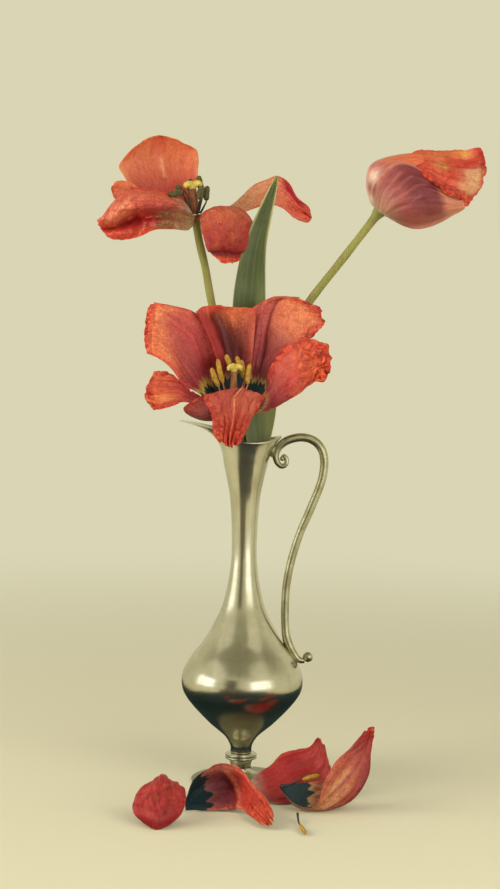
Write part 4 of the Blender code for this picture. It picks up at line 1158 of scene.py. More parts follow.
                 ((0.5, 0.55), (0.9, 0.4), 0.03, 1), ((0.6, -0.25), (0.98, -0.15), 0.018, -0.8),
                 ((0.62, 0.4), (0.98, 0.25), 0.018, -0.8), ((0.7, -0.7), (0.98, -0.45), 0.02, 0.8),
                 ((0.7, 0.75), (0.98, 0.5), 0.02, 0.8)],
        dry=[(1, 0, 0.3, 1.4, 0.9)], dry_rim=0.6, rim_start=0.5, ruffle=(1.1, 8.0), crumple=1.5,
        crumple_scale=0.24, fray=0.03, roundness=0.1)),
    "center_petal_6": (210, INNER, [
        [(-24, -24, 239), (-25.5, -22, 240), (-26.5, -20, 241), (-27.5, -18, 241.5),
         (-28, -16, 242.5)],
        [(-32, -27.5, 239.5), (-32.5, -25, 241), (-33.5, -23, 242.5), (-34.5, -20, 244.5),
         (-35.5, -17.5, 247)],
        [(-39, -29.5, 239.5), (-40.5, -28, 242.5), (-41.5, -26, 246), (-41, -22, 250),
         (-40, -18, 252)],
        [(-45.5, -30.5, 237.5), (-47.5, -31, 241.5), (-49.5, -29, 246), (-49.5, -24, 251.5),
         (-45.5, -19, 256.5)],
        [(-51, -30.5, 235.5), (-54.5, -31.5, 239.5), (-56, -30, 245), (-55.5, -26, 251.5),
         (-51, -20.5, 258.5)],
        [(-57, -29, 234), (-60, -30, 238.5), (-62, -29.5, 245), (-60.5, -26.5, 251.5),
         (-57, -22, 258.5)],
    ], Look(
        slot="petal_dry", cells=FINE_CELLS,
        along=[(0, MAROON), (0.25, (150, 46, 48)), (0.45, (186, 62, 52)), (0.7, (210, 88, 54)),
               (1, (214, 84, 48))],
        bands=[(0.2, 0.6, 0.2, 1.2, 0.08, (176, 48, 48), 0.7)],
        marks=[(0.72, -0.35, 0.14, 0.25, (236, 150, 88), 0.6),
               (0.85, 0.4, 0.2, 0.5, (210, 90, 52), 0.6)],
        lines=[((0.4, -0.15), (0.85, -0.1), 0.03, (234, 150, 92), 0.7),
               ((0.6, -0.7), (0.95, -0.7), 0.03, (178, 36, 34), 0.7)],
        rim=((214, 50, 40), 0.6), shade=0.88, blotch=0.10,
        creases=[((0.35, -0.1), (0.95, 0), 0.04, 1.2), ((0.5, 0.5), (0.95, 0.5), 0.05, -0.8)],
        dry=[(1, -0.4, 0.16, 0.9, 0.8)], ruffle=(1.0, 6.0), crumple=2.2, curl=-1.0, fray=0.03,
        roundness=0.15)),
}
LEFT_PETALS = {
    "left_petal_1": (98, INNER, [
        [(-71.5, 24, 365.5), (-62, 29, 366), (-52.5, 31, 366.5), (-43, 30, 367.5), (-36, 27, 369)],
        [(-76.5, 25, 373), (-65, 31, 375), (-52.5, 33.5, 376.5), (-42, 32, 376.5),
         (-33.5, 29, 376)],
        [(-80.5, 26, 379), (-68.5, 32.5, 383.5), (-55, 34.5, 385), (-43.5, 33, 385),
         (-33, 30, 383.5)],
        [(-83, 26, 384), (-71.5, 31, 391.5), (-56, 33, 394), (-43.5, 31.5, 393),
         (-32.5, 29, 389.5)],
        [(-79, 26, 390), (-68, 29, 398.5), (-56, 30, 401.5), (-43.5, 29, 398.5), (-33, 28, 394.5)],
        [(-72, 26, 397), (-65, 27.5, 402), (-58, 28, 403.5), (-47, 27.5, 401.5),
         (-34.5, 27, 395.5)],
    ], Look(
        along=[(0, CRIMSON), (0.35, (190, 84, 56)), (0.6, (208, 112, 72)), (0.85, (210, 106, 66)),
               (1, (206, 82, 50))],
        marks=[(0.9, -0.05, 0.22, 0.16, (192, 52, 40), 0.8),
               (0.75, -0.75, 0.25, 0.3, (222, 124, 80), 0.6),
               (0.6, 0.7, 0.2, 0.3, (220, 116, 76), 0.5)],
        lines=[((0.38, -0.05), (0.58, -0.02), 0.022, (238, 172, 116), 0.75)],
        rim=((226, 156, 104), 0.55), shade=0.94, cool=0.6, painted_glints=0.12, blotch=0.06,
        creases=[((0.3, 0), (0.95, 0), 0.05, 0.8)], dry_rim=0.1, ruffle=(0.4, 5.0), crumple=0.5,
        fray=0.0, roundness=0.25)),
    "left_petal_2": (160, OUTER, [
        [(-53, 22, 359), (-54, 25.5, 355), (-52.5, 24.5, 350)],
        [(-68.5, 22, 370), (-69.5, 26, 366), (-68.5, 25, 362)],
        [(-76.5, 23, 374.5), (-77.5, 28, 368.5), (-77, 25, 361.5)],
        [(-83, 24, 375.5), (-85, 28, 369), (-83.5, 25, 362)],
        [(-86.5, 24, 373.5), (-87.5, 26, 369.5), (-86.5, 25, 364.5)],
    ], Look(
        along=[(0, (214, 112, 78)), (0.6, (224, 124, 86)), (1, (224, 122, 84))],
        rim=(ORANGE_RED, 0.2), shade=1.1, mauve=0.0, pale=0.0, blotch=0.1, dry_rim=0.2,
        ruffle=(0.3, 4.0), crumple=0.4, fray=0.0, roundness=0.7)),
    "left_petal_3": (222, INNER, [
        [(-43.5, 20, 365), (-39, 12, 360), (-37, 9, 356.5), (-34.5, 16, 353), (-34.5, 18, 349),
         (-38, 18, 345)],
        [(-49.5, 19, 366.5), (-47, 5, 361.5), (-47, 3, 358), (-47, 15, 355), (-47, 17, 349),
         (-47, 17, 345)],
        [(-57, 19, 368.5), (-57, 2, 364), (-58, -1, 358.5), (-58.5, 16, 354.5), (-58.5, 16, 349),
         (-58.5, 16, 344.5)],
        [(-68.5, 19, 369.5), (-68.5, 1, 365), (-69, -3, 358.5), (-68, 17, 353), (-68, 12, 345.5),
         (-67.5, 13, 340.5)],
        [(-77, 20, 367.5), (-78, 2, 362), (-79, -3, 355.5), (-76, 21, 349.5), (-76, 4, 343),
         (-74.5, 7, 338.5)],
        [(-85, 20, 362), (-86, 4, 357), (-86.5, 1, 350.5), (-84, 18, 345.5), (-84.5, 5, 341.5),
         (-83.5, 9, 338.5)],
        [(-92, 20, 354), (-93.5, 12, 351), (-94.5, 10, 348), (-93.5, 11, 345), (-91.5, 10, 342),
         (-89, 12, 340)],
    ], Look(
        slot="petal_mauve",
        along=[(0, (140, 104, 78)), (0.2, (146, 92, 78)), (0.38, (170, 66, 62)),
               (0.6, (196, 72, 58)), (0.85, (206, 84, 60)), (1, ORANGE_RED)],
        bands=[(0.25, 0.68, -1.2, -0.35, 0.08, (200, 92, 72), 0.9),
               (0.66, 1.1, -1.2, 0.05, 0.08, (204, 92, 66), 0.85),
               (0.42, 0.82, 0.02, 0.58, 0.04, (178, 34, 42), 0.95),
               (0.45, 0.95, 0.68, 1.2, 0.05, (218, 64, 44), 0.85),
               (-0.2, 0.42, -0.02, 1.2, 0.05, (150, 112, 78), 0.9)],
        # painted highlight: the first mark is a pale lit place towards the tip
        marks=[(0.76, -0.3, 0.16, 0.3, (244, 152, 112), 0.85),
               (0.86, 0.2, 0.1, 0.3, (220, 104, 74), 0.7),
               (0.45, -0.7, 0.2, 0.25, (216, 116, 84), 0.8)],
        lines=[((0.52, 0.5), (0.6, 0.95), 0.014, (236, 150, 110), 0.7),
               ((0.62, 0.1), (0.7, 0.6), 0.012, (206, 70, 56), 0.8),
               ((0.78, 0.1), (0.7, 0.5), 0.012, (214, 90, 66), 0.8),
               ((0.66, -0.6), (0.72, 0), 0.016, (232, 150, 112), 0.6)],
        rim=(FLAME, 0.3), shade=1.1, mauve=0.0, pale=0.25, painted_glints=0.6, crisp=0.22,
        creases=[((0.3, -0.45), (0.75, -0.35), 0.04, -0.8),
                 ((0.55, -0.6), (0.85, -0.1), 0.035, 1.2), ((0.55, 0.1), (0.75, 0.7), 0.03, 1.2),
                 ((0.5, 0.2), (0.62, 0.75), 0.025, 1), ((0.7, 0.1), (0.85, 0.6), 0.03, 1)],
        dry=[(0.6, 0, 0.8, 2, 0.75)], dry_rim=0.3, ruffle=(0.7, 8.0), crumple=1.3, roundness=0.2)),
    "left_petal_4": (-55, INNER, [
        [(-20.5, 19, 357.5), (-25, 15, 356.5), (-30, 13, 354.5), (-32.5, 13, 352),
         (-34.5, 15, 350)],
        [(-8, 14, 359), (-14.5, 9, 360), (-20, 6, 359.5), (-26, 6, 357.5), (-31, 9, 353)],
        [(2, 11, 351.5), (-6, 3, 354), (-14.5, -1, 353.5), (-23, 0, 351.5), (-30, 5, 347)],
        [(1, 9, 342.5), (-6.5, 1, 344.5), (-14, -2.5, 344), (-21.5, -1, 343), (-28.5, 5, 339.5)],
        [(-1.5, 8, 334), (-8.5, 2, 335), (-14, 0, 335), (-20.5, 1, 334.5), (-26.5, 5, 332)],
        [(-4.5, 8, 329), (-9, 4, 329), (-14, 3, 329.5), (-19.5, 3.5, 330), (-24.5, 6, 329.5)],
        [(-6, 5, 325.5), (-9.5, 2, 324.5), (-13.5, 1, 324), (-17, 2, 324.5), (-19.5, 4, 327)],
    ], Look(
        along=[(0, MAROON), (0.2, (140, 40, 38)), (0.36, (190, 84, 58)), (0.5, (176, 58, 46)),
               (0.68, (160, 36, 38)), (0.84, (116, 16, 28)), (0.92, (216, 84, 52)), (1, FLAME)],
        marks=[(0.40, 0, 0.10, 0.7, (214, 112, 66), 0.6),
               (0.6, -0.3, 0.1, 0.2, (206, 90, 52), 0.6),
               (0.66, 0.4, 0.1, 0.2, (206, 84, 50), 0.5)],
        lines=[((0.84, -0.9), (0.86, 0.9), 0.03, (120, 14, 26), 0.8)],
        rim=(ORANGE_RED, 0.3), shade=0.8, painted_glints=0.8, crisp=0.25,
        creases=[((0.84, -1), (0.84, 1), 0.05, 1.6)],
        dry=[(0.6, 0, 0.6, 2, 0.3)], dry_rim=0.3, ruffle=(0.7, 8.0), crumple=1.3, roundness=0.15)),
    "left_petal_5": (35, OUTER, [
        [(-14, 31, 360), (-14, 29.5, 357), (-13.5, 27, 354.5)],
        [(-6.5, 34, 366), (-5.5, 31, 361), (-4, 26, 356.5)],
        [(1.5, 36, 373.5), (2.5, 31, 367), (3.5, 25, 359)],
        [(10, 35.5, 377.5), (10.5, 30, 370), (11.5, 24, 361)],
        [(17.5, 34, 380), (17, 28, 371), (16.5, 22, 361)],
        [(24.5, 30, 375.5), (23.5, 25, 367), (22, 21, 358.5)],
        [(29.5, 27, 366.5), (29, 23, 360.5), (27.5, 20, 353.5)],
        [(37, 26, 361), (36.5, 24, 356), (34.5, 22.5, 350.5)],
        [(39, 25, 355), (39, 24, 353), (38.5, 23, 351)],
    ], Look(
        along=[(0, (190, 120, 80)), (0.25, (206, 140, 98)), (0.45, (210, 136, 98)),
               (0.6, (208, 110, 80)), (0.75, (210, 90, 66)), (1, (222, 90, 58))],
        bands=[(0.62, 0.86, -0.95, -0.25, 0.04, (172, 14, 34), 1)],
        marks=[(0.8, 0.3, 0.12, 0.3, (206, 70, 58), 0.6)],
        lines=[((0.6, -0.1), (0.9, 0), 0.02, (190, 34, 42), 0.8)],
        rim=(ORANGE_RED, 0.35), shade=0.86,
        creases=[((0.6, 0.2), (0.95, 0.1), 0.04, 1), ((0.58, -0.5), (0.85, -0.1), 0.04, -1.2)],
        dry_rim=0.3, ruffle=(0.5, 6.0), crumple=0.7, roundness=0.3)),
}

# Each stamen: degrees round the receptacle, then bend, shoulder and tip
CENTER_STAMENS = [
    (200, (-15, -17, 243), (-17, -19, 248.5), (-21.8, -20, 260.8)),
    (155, (-13, -12.8, 244.5), (-14.4, -14.6, 250), (-18.2, -15, 266)),
    (110, (-9.4, -8.8, 250), (-9.2, -8.8, 260), (-13.2, -8.8, 268.6)),
    (60, (-3.4, -9, 246.5), (-1.6, -8.8, 253), (-3.6, -8.6, 265.4)),
    (15, (-2.4, -12.4, 247), (-1, -12.4, 254), (-6.6, -12, 267.8)),
    (-35, (-2, -16.4, 243.6), (0.4, -16.4, 250), (1.6, -16, 263.4)),
]
LEFT_STAMENS = [
    (225, (-38.6, 17.4, 365), (-41.4, 16.2, 369.2), (-50.8, 14.8, 366.4)),
    (170, (-40.6, 21.6, 364), (-41.8, 21.4, 366), (-45.8, 20.6, 373)),
    (115, (-36.6, 26.6, 364), (-36.8, 26.8, 367), (-38, 26.6, 377)),
    (55, (-30.4, 25.2, 364), (-29.8, 25.4, 368), (-32.6, 25.6, 379)),
    (-5, (-28.6, 20.4, 360), (-27.4, 20, 362.6), (-26.8, 19.6, 372.5)),
    (-65, (-32, 17.2, 361), (-31.4, 16.6, 363), (-30.4, 15.8, 372)),
]
STAMEN_RING_RADIUS = 3.3
FILAMENT_RADIUS = 0.6
ANTHER_RADIUS = 1.4
OVARY_RADIUS = 1.7
CENTER_STIGMA = (-8.0, -15.4, 262.0)
LEFT_STIGMA = (-36.4, 21.4, 374.0)


def foot_on(seat, degrees, ring_radius, foot_radius, toward):
    """Where a leaning stalk stands so that the low side of its foot keeps the gap."""
    foot = around(seat, degrees, ring_radius, GAP)
    axis = np.array(seat[1]) / np.linalg.norm(seat[1])
    lean = (np.array(toward) - foot) / np.linalg.norm(np.array(toward) - foot)
    return foot + axis * foot_radius * np.linalg.norm(np.cross(axis, lean))


def frame_along(axis):
    """The axis as a unit vector, and two directions square to it."""
    axis = np.asarray(axis, dtype=float) / np.linalg.norm(axis)
    side = np.cross(axis, (0.31, 0.95, 0.05))
    side /= np.linalg.norm(side)
    return axis, side, np.cross(axis, side)


def new_anther(start, end, radius, bend, twist):
    """Four-lobed pollen sac, slit along both sides, dusty with pollen."""
    deselect()
    bpy.ops.mesh.primitive_uv_sphere_add(segments=32, ring_count=30, radius=1.0)
    sac = bpy.context.object
    start, end = np.array(start, dtype=float), np.array(end, dtype=float)
    axis, side, other = frame_along(end - start)
    length = np.linalg.norm(end - start)
    points = []
    for vertex in sac.data.vertices:
        x, y, z = vertex.co
        angle = math.atan2(y, x) + twist * z
        belly = max(1 - z ** 4, 0.0) ** 0.5 if abs(z) < 1 else 0.0
        lobes = 0.80 + 0.20 * abs(math.cos(2 * angle)) ** 0.8
        r = radius * belly * lobes
        out = r * (math.cos(angle) * 1.15 * side + math.sin(angle) * 0.85 * other)
        along = (z + 1) / 2 * length
        arc = bend * (1 - z * z) * side
        p = start + axis * along + out + arc
        p += (out / max(r, 0.05)) * 0.12 * noise.noise(Vector(p * 1.6))
        points.append(p)
    set_points(sac.data, points)
    sac.location = (0.0, 0.0, 0.0)
    in_edit_mode(outward_faces)
    return sac


def make_stamen(name, points, pollen, stalk, girth=ANTHER_RADIUS):
    """A thin stalk from foot to shoulder, and the sac from there to the tip."""
    foot, bend, shoulder, tip = (np.array(p, dtype=float) for p in points)
    waist = shoulder + (tip - shoulder) * 0.14
    thread = new_tube([foot, bend, shoulder, waist], [0.75, 0.6, 0.45, 0.32], 24, 12)
    sac = new_anther(shoulder + (tip - shoulder) * 0.06, tip, girth, 0.35, 0.25)
    thread.data.materials.append(stalk)
    sac.data.materials.append(pollen)
    joined = join_into(thread, [sac])
    finish_piece(joined, name + "_stalk_and_sac", [name])


def make_pistil(name, foot, head, bulk):
    """Three-sided ovary with a crown of three curled lobes."""
    foot, head = np.array(foot, dtype=float), np.array(head, dtype=float)
    axis, side, other = frame_along(head - foot)
    length = np.linalg.norm(head - foot)
    neck = foot + axis * (length - 3.4)
    column = new_tube([foot, foot + (neck - foot) * 0.35, foot + (neck - foot) * 0.8, neck],
                      [OVARY_RADIUS, 2.2 * bulk, 1.9 * bulk, 1.7 * bulk], 40, 24)
    points = []
    for vertex in column.data.vertices:
        p = np.array(vertex.co) / MM
        h = np.dot(p - foot, axis)
        out = p - foot - axis * h
        angle = math.atan2(np.dot(out, other), np.dot(out, side))
        points.append(foot + axis * h + out * (1.0 + 0.13 * math.cos(3 * angle)))
    set_points(column.data, points)
    column.data.materials.append(PISTIL_SKIN)
    lobes = []
    for k in range(3):
        angle = math.radians(60 + 120 * k)
        way = math.cos(angle) * side + math.sin(angle) * other
        path = [neck - axis * 0.6, neck + axis * 1.6 + way * 0.8 * bulk,
                neck + axis * 3.0 + way * 2.2 * bulk, neck + axis * 2.4 + way * 3.8 * bulk,
                neck + axis * 0.8 + way * 4.2 * bulk]
        radii = [1.3 * bulk, 1.6 * bulk, 1.7 * bulk, 1.5 * bulk, 0.7]
        lobe = new_tube(path, radii, 24, 14)
        lobe.data.materials.append(STIGMA_SKIN)
        lobes.append(lobe)
    crown = join_into(column, lobes)
    finish_piece(crown, name + "_crown", [name])


def make_open_flower(prefix, petals, seat, stamens, stigma, pollen, stalk, first, bulk):
    """Petals numbered from first, stamens and pistil round one receptacle."""
    for number, (name, (degrees, drop, rows, look)) in enumerate(petals.items(), start=first):
        net = [base_row(seat, degrees, drop, len(rows[0]))] + rows
        make_petal(name, net, number, look)
    for number, (degrees, *points) in enumerate(stamens, start=1):
        foot = foot_on(seat, degrees, STAMEN_RING_RADIUS, FILAMENT_RADIUS, points[0])
        make_stamen(f"{prefix}_stamen_{number}", [foot, *points], pollen, stalk,
                    ANTHER_RADIUS * bulk)
    foot = foot_on(seat, 0, 0.0, OVARY_RADIUS, stigma)
    make_pistil(prefix + "_pistil", foot, stigma, bulk)


# ---------------------------------------------------------------- fallen pieces

# Each dropped petal: rows of points from its base to its tip, and its look
FALLEN_PETALS = {
    "fallen_petal_1": ([
        [(-55, -112, 2), (-47.5, -120.5, 1), (-40, -113, 2)],
        [(-61.5, -108, 7), (-48, -121, 8), (-33.5, -108, 7)],
        [(-62, -104, 13), (-47.5, -115, 16), (-31, -102, 14)],
        [(-57, -98, 20), (-46, -104, 25), (-32.5, -97, 20)],
        [(-52.5, -91, 19), (-45.5, -92, 26), (-37.5, -90, 18)],
        [(-53, -86, 10), (-46, -84, 13), (-39, -85, 9)],
    ], Look(
        slot="petal_dry",
        along=[(0, CRIMSON), (0.4, (214, 54, 54)), (0.75, (220, 62, 58)), (1, (184, 40, 38))],
        lines=[((0.35, -0.8), (0.55, 0.5), 0.014, (146, 20, 30), 0.8),
               ((0.25, 0.3), (0.5, -0.1), 0.012, (154, 24, 32), 0.7),
               ((0.55, 0.1), (0.8, -0.2), 0.012, (160, 26, 34), 0.6)],
        rim=(CRIMSON, 0.4), shade=0.56, mauve=0.0, pale=0.0, painted_glints=0.2, crisp=0.25,
        creases=[((0.35, -0.7), (0.55, 0.5), 0.035, -1.9), ((0.55, 0.5), (0.7, 0.8), 0.04, -1),
                 ((0.2, 0.2), (0.5, -0.2), 0.04, 1), ((0.5, 0), (0.75, -0.3), 0.035, 1)],
        dry=[(0.5, 0, 0.8, 1.6, 0.45)], dry_rim=0.6, ruffle=(0.5, 6.0), wrinkle=0.6,
        crumple_scale=0.10, fray=0.0, roundness=0.55)),
    "fallen_petal_2": ([
        [(-31.5, -82, 9), (-32.5, -80, 5), (-32, -83, 1.5)],
        [(-28, -78, 18), (-27, -69, 9), (-26, -79, 0.8)],
        [(-20, -76, 25), (-17, -61, 12), (-15, -78, 0.6)],
        [(-10, -76, 27.5), (-7, -60, 13), (-4, -79, 0.6)],
        [(-1, -80, 25.5), (3, -73, 14), (2, -84, 2.5)],
        [(8, -89, 19), (9, -93, 9.5), (3, -95, 4.5)],
        [(16.5, -99, 12.5), (15, -106, 6.5), (8.5, -107, 3)],
        [(21, -113, 6), (19, -118, 3.8), (14, -118, 1.2)],
    ], Look(
        along=[(0, MAUVE), (0.25, (138, 76, 86)), (0.42, (146, 66, 76)), (0.5, (178, 62, 60)),
               (0.55, (206, 70, 56)), (0.8, (216, 80, 56)), (1, (228, 104, 60))],
        marks=[(0.36, -0.9, 0.12, 0.3, (206, 120, 112), 0.8),
               (0.46, -0.9, 0.08, 0.3, (222, 130, 104), 0.7)],
        lines=[((0.47, -0.7), (0.54, 0.95), 0.012, (240, 140, 108), 0.8),
               ((0.43, -0.6), (0.50, 0.9), 0.014, (110, 30, 44), 0.7),
               ((0.6, 0.2), (0.9, 0.1), 0.014, (176, 30, 36), 0.7),
               ((0.62, -0.5), (0.85, -0.6), 0.014, (178, 34, 38), 0.6)],
        rim=((222, 140, 100), 0.5), shade=0.9, mauve=0.3, pale=0.3, painted_glints=0.2, blotch=0.26,
        halo=0.08, crisp=0.6,
        creases=[((0.44, -0.7), (0.52, 0.95), 0.030, -2.4), ((0.6, -0.2), (0.9, -0.3), 0.04, -1),
                 ((0.65, 0.4), (0.95, 0.3), 0.04, 1)],
        dry=[(0.9, 0, 0.25, 1.4, 0.7)], ruffle=(1.2, 12.0), wrinkle=0.4, crumple=1.8,
        roundness=0.3)),
    "fallen_petal_3": ([
        [(6, -40, 9.5), (6.5, -45, 8.5), (7.5, -50, 7), (9, -54, 5.5), (11, -57, 4)],
        [(12, -33, 13.5), (13, -40, 10), (14, -50, 6), (16, -57, 4), (18, -60, 2)],
        [(18, -28, 16.5), (21, -36, 13), (23, -46, 8.5), (25, -55, 4.5), (27, -60, 0.5)],
        [(25.5, -25, 23), (29, -33, 19), (32, -42, 13), (34, -51, 7), (36, -58, 2.5)],
        [(34.5, -25, 26), (38.5, -31, 21.5), (42.5, -38, 15), (44.5, -46, 9), (45, -54, 4.5)],
        [(42, -28, 28.5), (45.5, -32, 26), (49.5, -37, 20), (52.5, -42, 13), (53.5, -48, 7.5)],
        [(46, -33, 35), (48, -34, 36), (51, -36, 32.5), (53.5, -38, 24.5), (55.5, -40, 19.5)],
    ], Look(
        along=[(0, (190, 160, 130)), (0.1, (186, 130, 116)), (0.22, (188, 56, 54)),
               (0.6, (190, 44, 46)), (1, (204, 70, 60))],
        rim=((206, 80, 66), 0.5), shade=0.66, mauve=0.5, painted_glints=0.2, crisp=0.6,
        creases=[((0.2, -0.5), (0.8, -0.6), 0.05, -0.9), ((0.3, 0.1), (0.9, 0), 0.05, -0.8)],
        dry_rim=0.3, ruffle=(0.7, 6.0), wrinkle=0.6, crumple=0.8, roundness=0.1)),
    "fallen_petal_4": ([
        [(24, -66.5, 14), (24, -68.5, 12.5), (24.5, -70.5, 11.5)],
        [(33, -64, 14), (32.5, -71, 3), (33, -77, 5)],
        [(43, -62, 14.5), (43, -71, 0.8), (42.5, -79, 4)],
        [(55, -59, 16.5), (54.5, -71, 0.8), (46.5, -81, 9)],
        [(66, -58, 22), (67, -69, 6), (50, -80.5, 20)],
        [(72, -57, 32), (76, -66, 19), (57, -76, 31)],
        [(73, -58, 39), (77.5, -64, 33), (65.5, -70, 38.5)],
        [(75, -60, 45), (78, -63, 41), (70, -67.5, 44)],
        [(77, -61.5, 50.5), (78.5, -63, 49), (75, -64, 49.5)],
    ], Look(
        along=[(0, (196, 150, 118)), (0.3, (208, 134, 106)), (0.5, (222, 102, 78)),
               (0.7, (212, 82, 70)), (0.85, (196, 52, 50)), (1, (208, 56, 46))],
        bands=[(0.38, 0.86, -0.5, 0.34, 0.1, (156, 62, 56), 0.75)],
        # painted sheen: the first mark is a pale highlight on the outer side
        marks=[(0.44, 0.72, 0.17, 0.42, (240, 170, 116), 0.85),
               (0.86, 0.6, 0.14, 0.5, (198, 58, 56), 0.8),
               (0.64, 0.05, 0.22, 0.26, (166, 54, 62), 0.7),
               (0.8, -0.2, 0.14, 0.3, (186, 44, 46), 0.7)],
        lines=[((0.5, 0.3), (0.9, 0.2), 0.012, (176, 36, 44), 0.8),
               ((0.5, 0.8), (0.85, 0.65), 0.012, (196, 70, 66), 0.7),
               ((0.45, 0), (0.85, -0.1), 0.012, (178, 44, 50), 0.7),
               ((0.62, 0.5), (0.95, 0.4), 0.012, (226, 140, 116), 0.6),
               # painted sheen: these two pale gold streaks
               ((0.36, 0.80), (0.60, 0.62), 0.024, (246, 180, 126), 0.7),
               ((0.34, 0.55), (0.54, 0.40), 0.022, (244, 172, 122), 0.45),
               ((0.42, 0.92), (0.66, 0.78), 0.014, (188, 70, 56), 0.8),
               ((0.44, 0.66), (0.80, 0.38), 0.016, (178, 54, 52), 0.9),
               ((0.40, 0.38), (0.72, 0.10), 0.016, (172, 50, 54), 0.8),
               ((0.70, 0.96), (0.98, 0.20), 0.020, (112, 26, 34), 0.9),
               ((0.72, 0.66), (0.97, 0.10), 0.018, (126, 30, 38), 0.9)],
        rim=((214, 100, 80), 0.4), shade=0.63, mauve=0.0, pale=0.2, blotch=0.25, halo=0.25,
        crisp=0.6,
        creases=[((0.55, 0.2), (1, 0), 0.03, 2), ((0.6, -0.4), (1, -0.3), 0.03, 1.4),
                 ((0.35, 0.6), (0.8, 0.7), 0.05, -0.8), ((0.65, 0.5), (0.95, 0.3), 0.03, -1.4)],
        dry=[(1, 0, 0.16, 1.5, 0.9)], dry_rim=0.35, ruffle=(0.6, 9.0), wrinkle=0.6, crumple=1.1,
        roundness=0.3)),
}
# Each dropped stamen: foot, bend, shoulder and tip
FALLEN_STAMENS = [
    [(23.8, -70.5, 13.9), (30, -66.5, 14.5), (36.5, -63, 16), (48, -61.5, 18.6)],
    [(34, -94, 4), (34.2, -102, 2.4), (34.8, -111, 1.8), (37.8, -129, 1.6)],
]


def make_fallen_pieces():
    """The dropped petals, set down on the table, and the dropped stamens."""
    for number, (name, (net, look)) in enumerate(FALLEN_PETALS.items(), start=40):
        make_petal(name, net, number, look, settle=True)
    for number, points in enumerate(FALLEN_STAMENS, start=1):
        make_stamen(f"fallen_stamen_{number}", points, POLLEN, FILAMENT)


# ---------------------------------------------------------------- shut flower

BUD_ORIGIN = np.array((79.0, 5.0, 360.0))
BUD_AXIS_RISE = math.radians(22)
# Depth from one wrapped petal to the next, and of the inner whorl at the base
LAYER_STEP = 1.65
BASE_WHORL_STEP = 1.7

# Along the axis, offset of the ring's centre towards the top, ring radius, ring lean
BUD_RINGS = [
    (0.5, -2, 4.6, 0.5), (2, 2, 11, 0.4), (6, 4.7, 20.1, 0.3), (15, 3.3, 23.3, 0.15),
    (27, 1.9, 23.8, 0.05), (39, 2.2, 22.4, 0), (50, 1.4, 20.6, 0),
    (58, 1.8, 17.2, 0), (65, 2.8, 13.6, 0), (72.5, 4.8, 9.5, 0),
]

# The petals at the back: layer, then rows of (place along the rings 0..9, degrees from the
# top towards the front) of one edge, the rib and the other edge
BUD_PETALS = {
    "right_petal_3": (2, [
        [(0, 312), (0, 250), (0, 188)], [(1.5, 300), (1.5, 246), (1.5, 193)],
        [(2.2, 300), (2.2, 242), (2.2, 185)], [(3, 300), (3, 236), (3, 165)],
        [(4.5, 298), (4.5, 234), (4.5, 160)], [(6, 292), (6, 234), (6, 166)],
        [(7, 276), (7.2, 236), (7, 186)], [(7.4, 256), (7.6, 236), (7.4, 210)],
    ]),
    "right_petal_5": (4, [
        [(0, 260), (0, 212), (0, 164)], [(1.5, 260), (1.5, 208), (1.5, 156)],
        [(3, 260), (3, 196), (3, 132)], [(4.5, 254), (4.5, 190), (4.5, 126)],
        [(5.8, 240), (5.8, 184), (5.8, 128)], [(6.8, 222), (7, 180), (6.8, 140)],
        [(7.2, 200), (7.4, 178), (7.2, 158)],
    ]),
    "right_petal_6": (5, [
        [(0, 376), (0, 330), (0, 284)], [(1.5, 380), (1.5, 328), (1.5, 276)],
        [(3, 388), (3, 326), (3, 262)], [(4.5, 388), (4.5, 324), (4.5, 258)],
        [(6, 386), (6, 324), (6, 264)], [(7.2, 370), (7.4, 326), (7.2, 280)],
        [(8, 350), (8.2, 328), (8, 306)],
    ]),
}
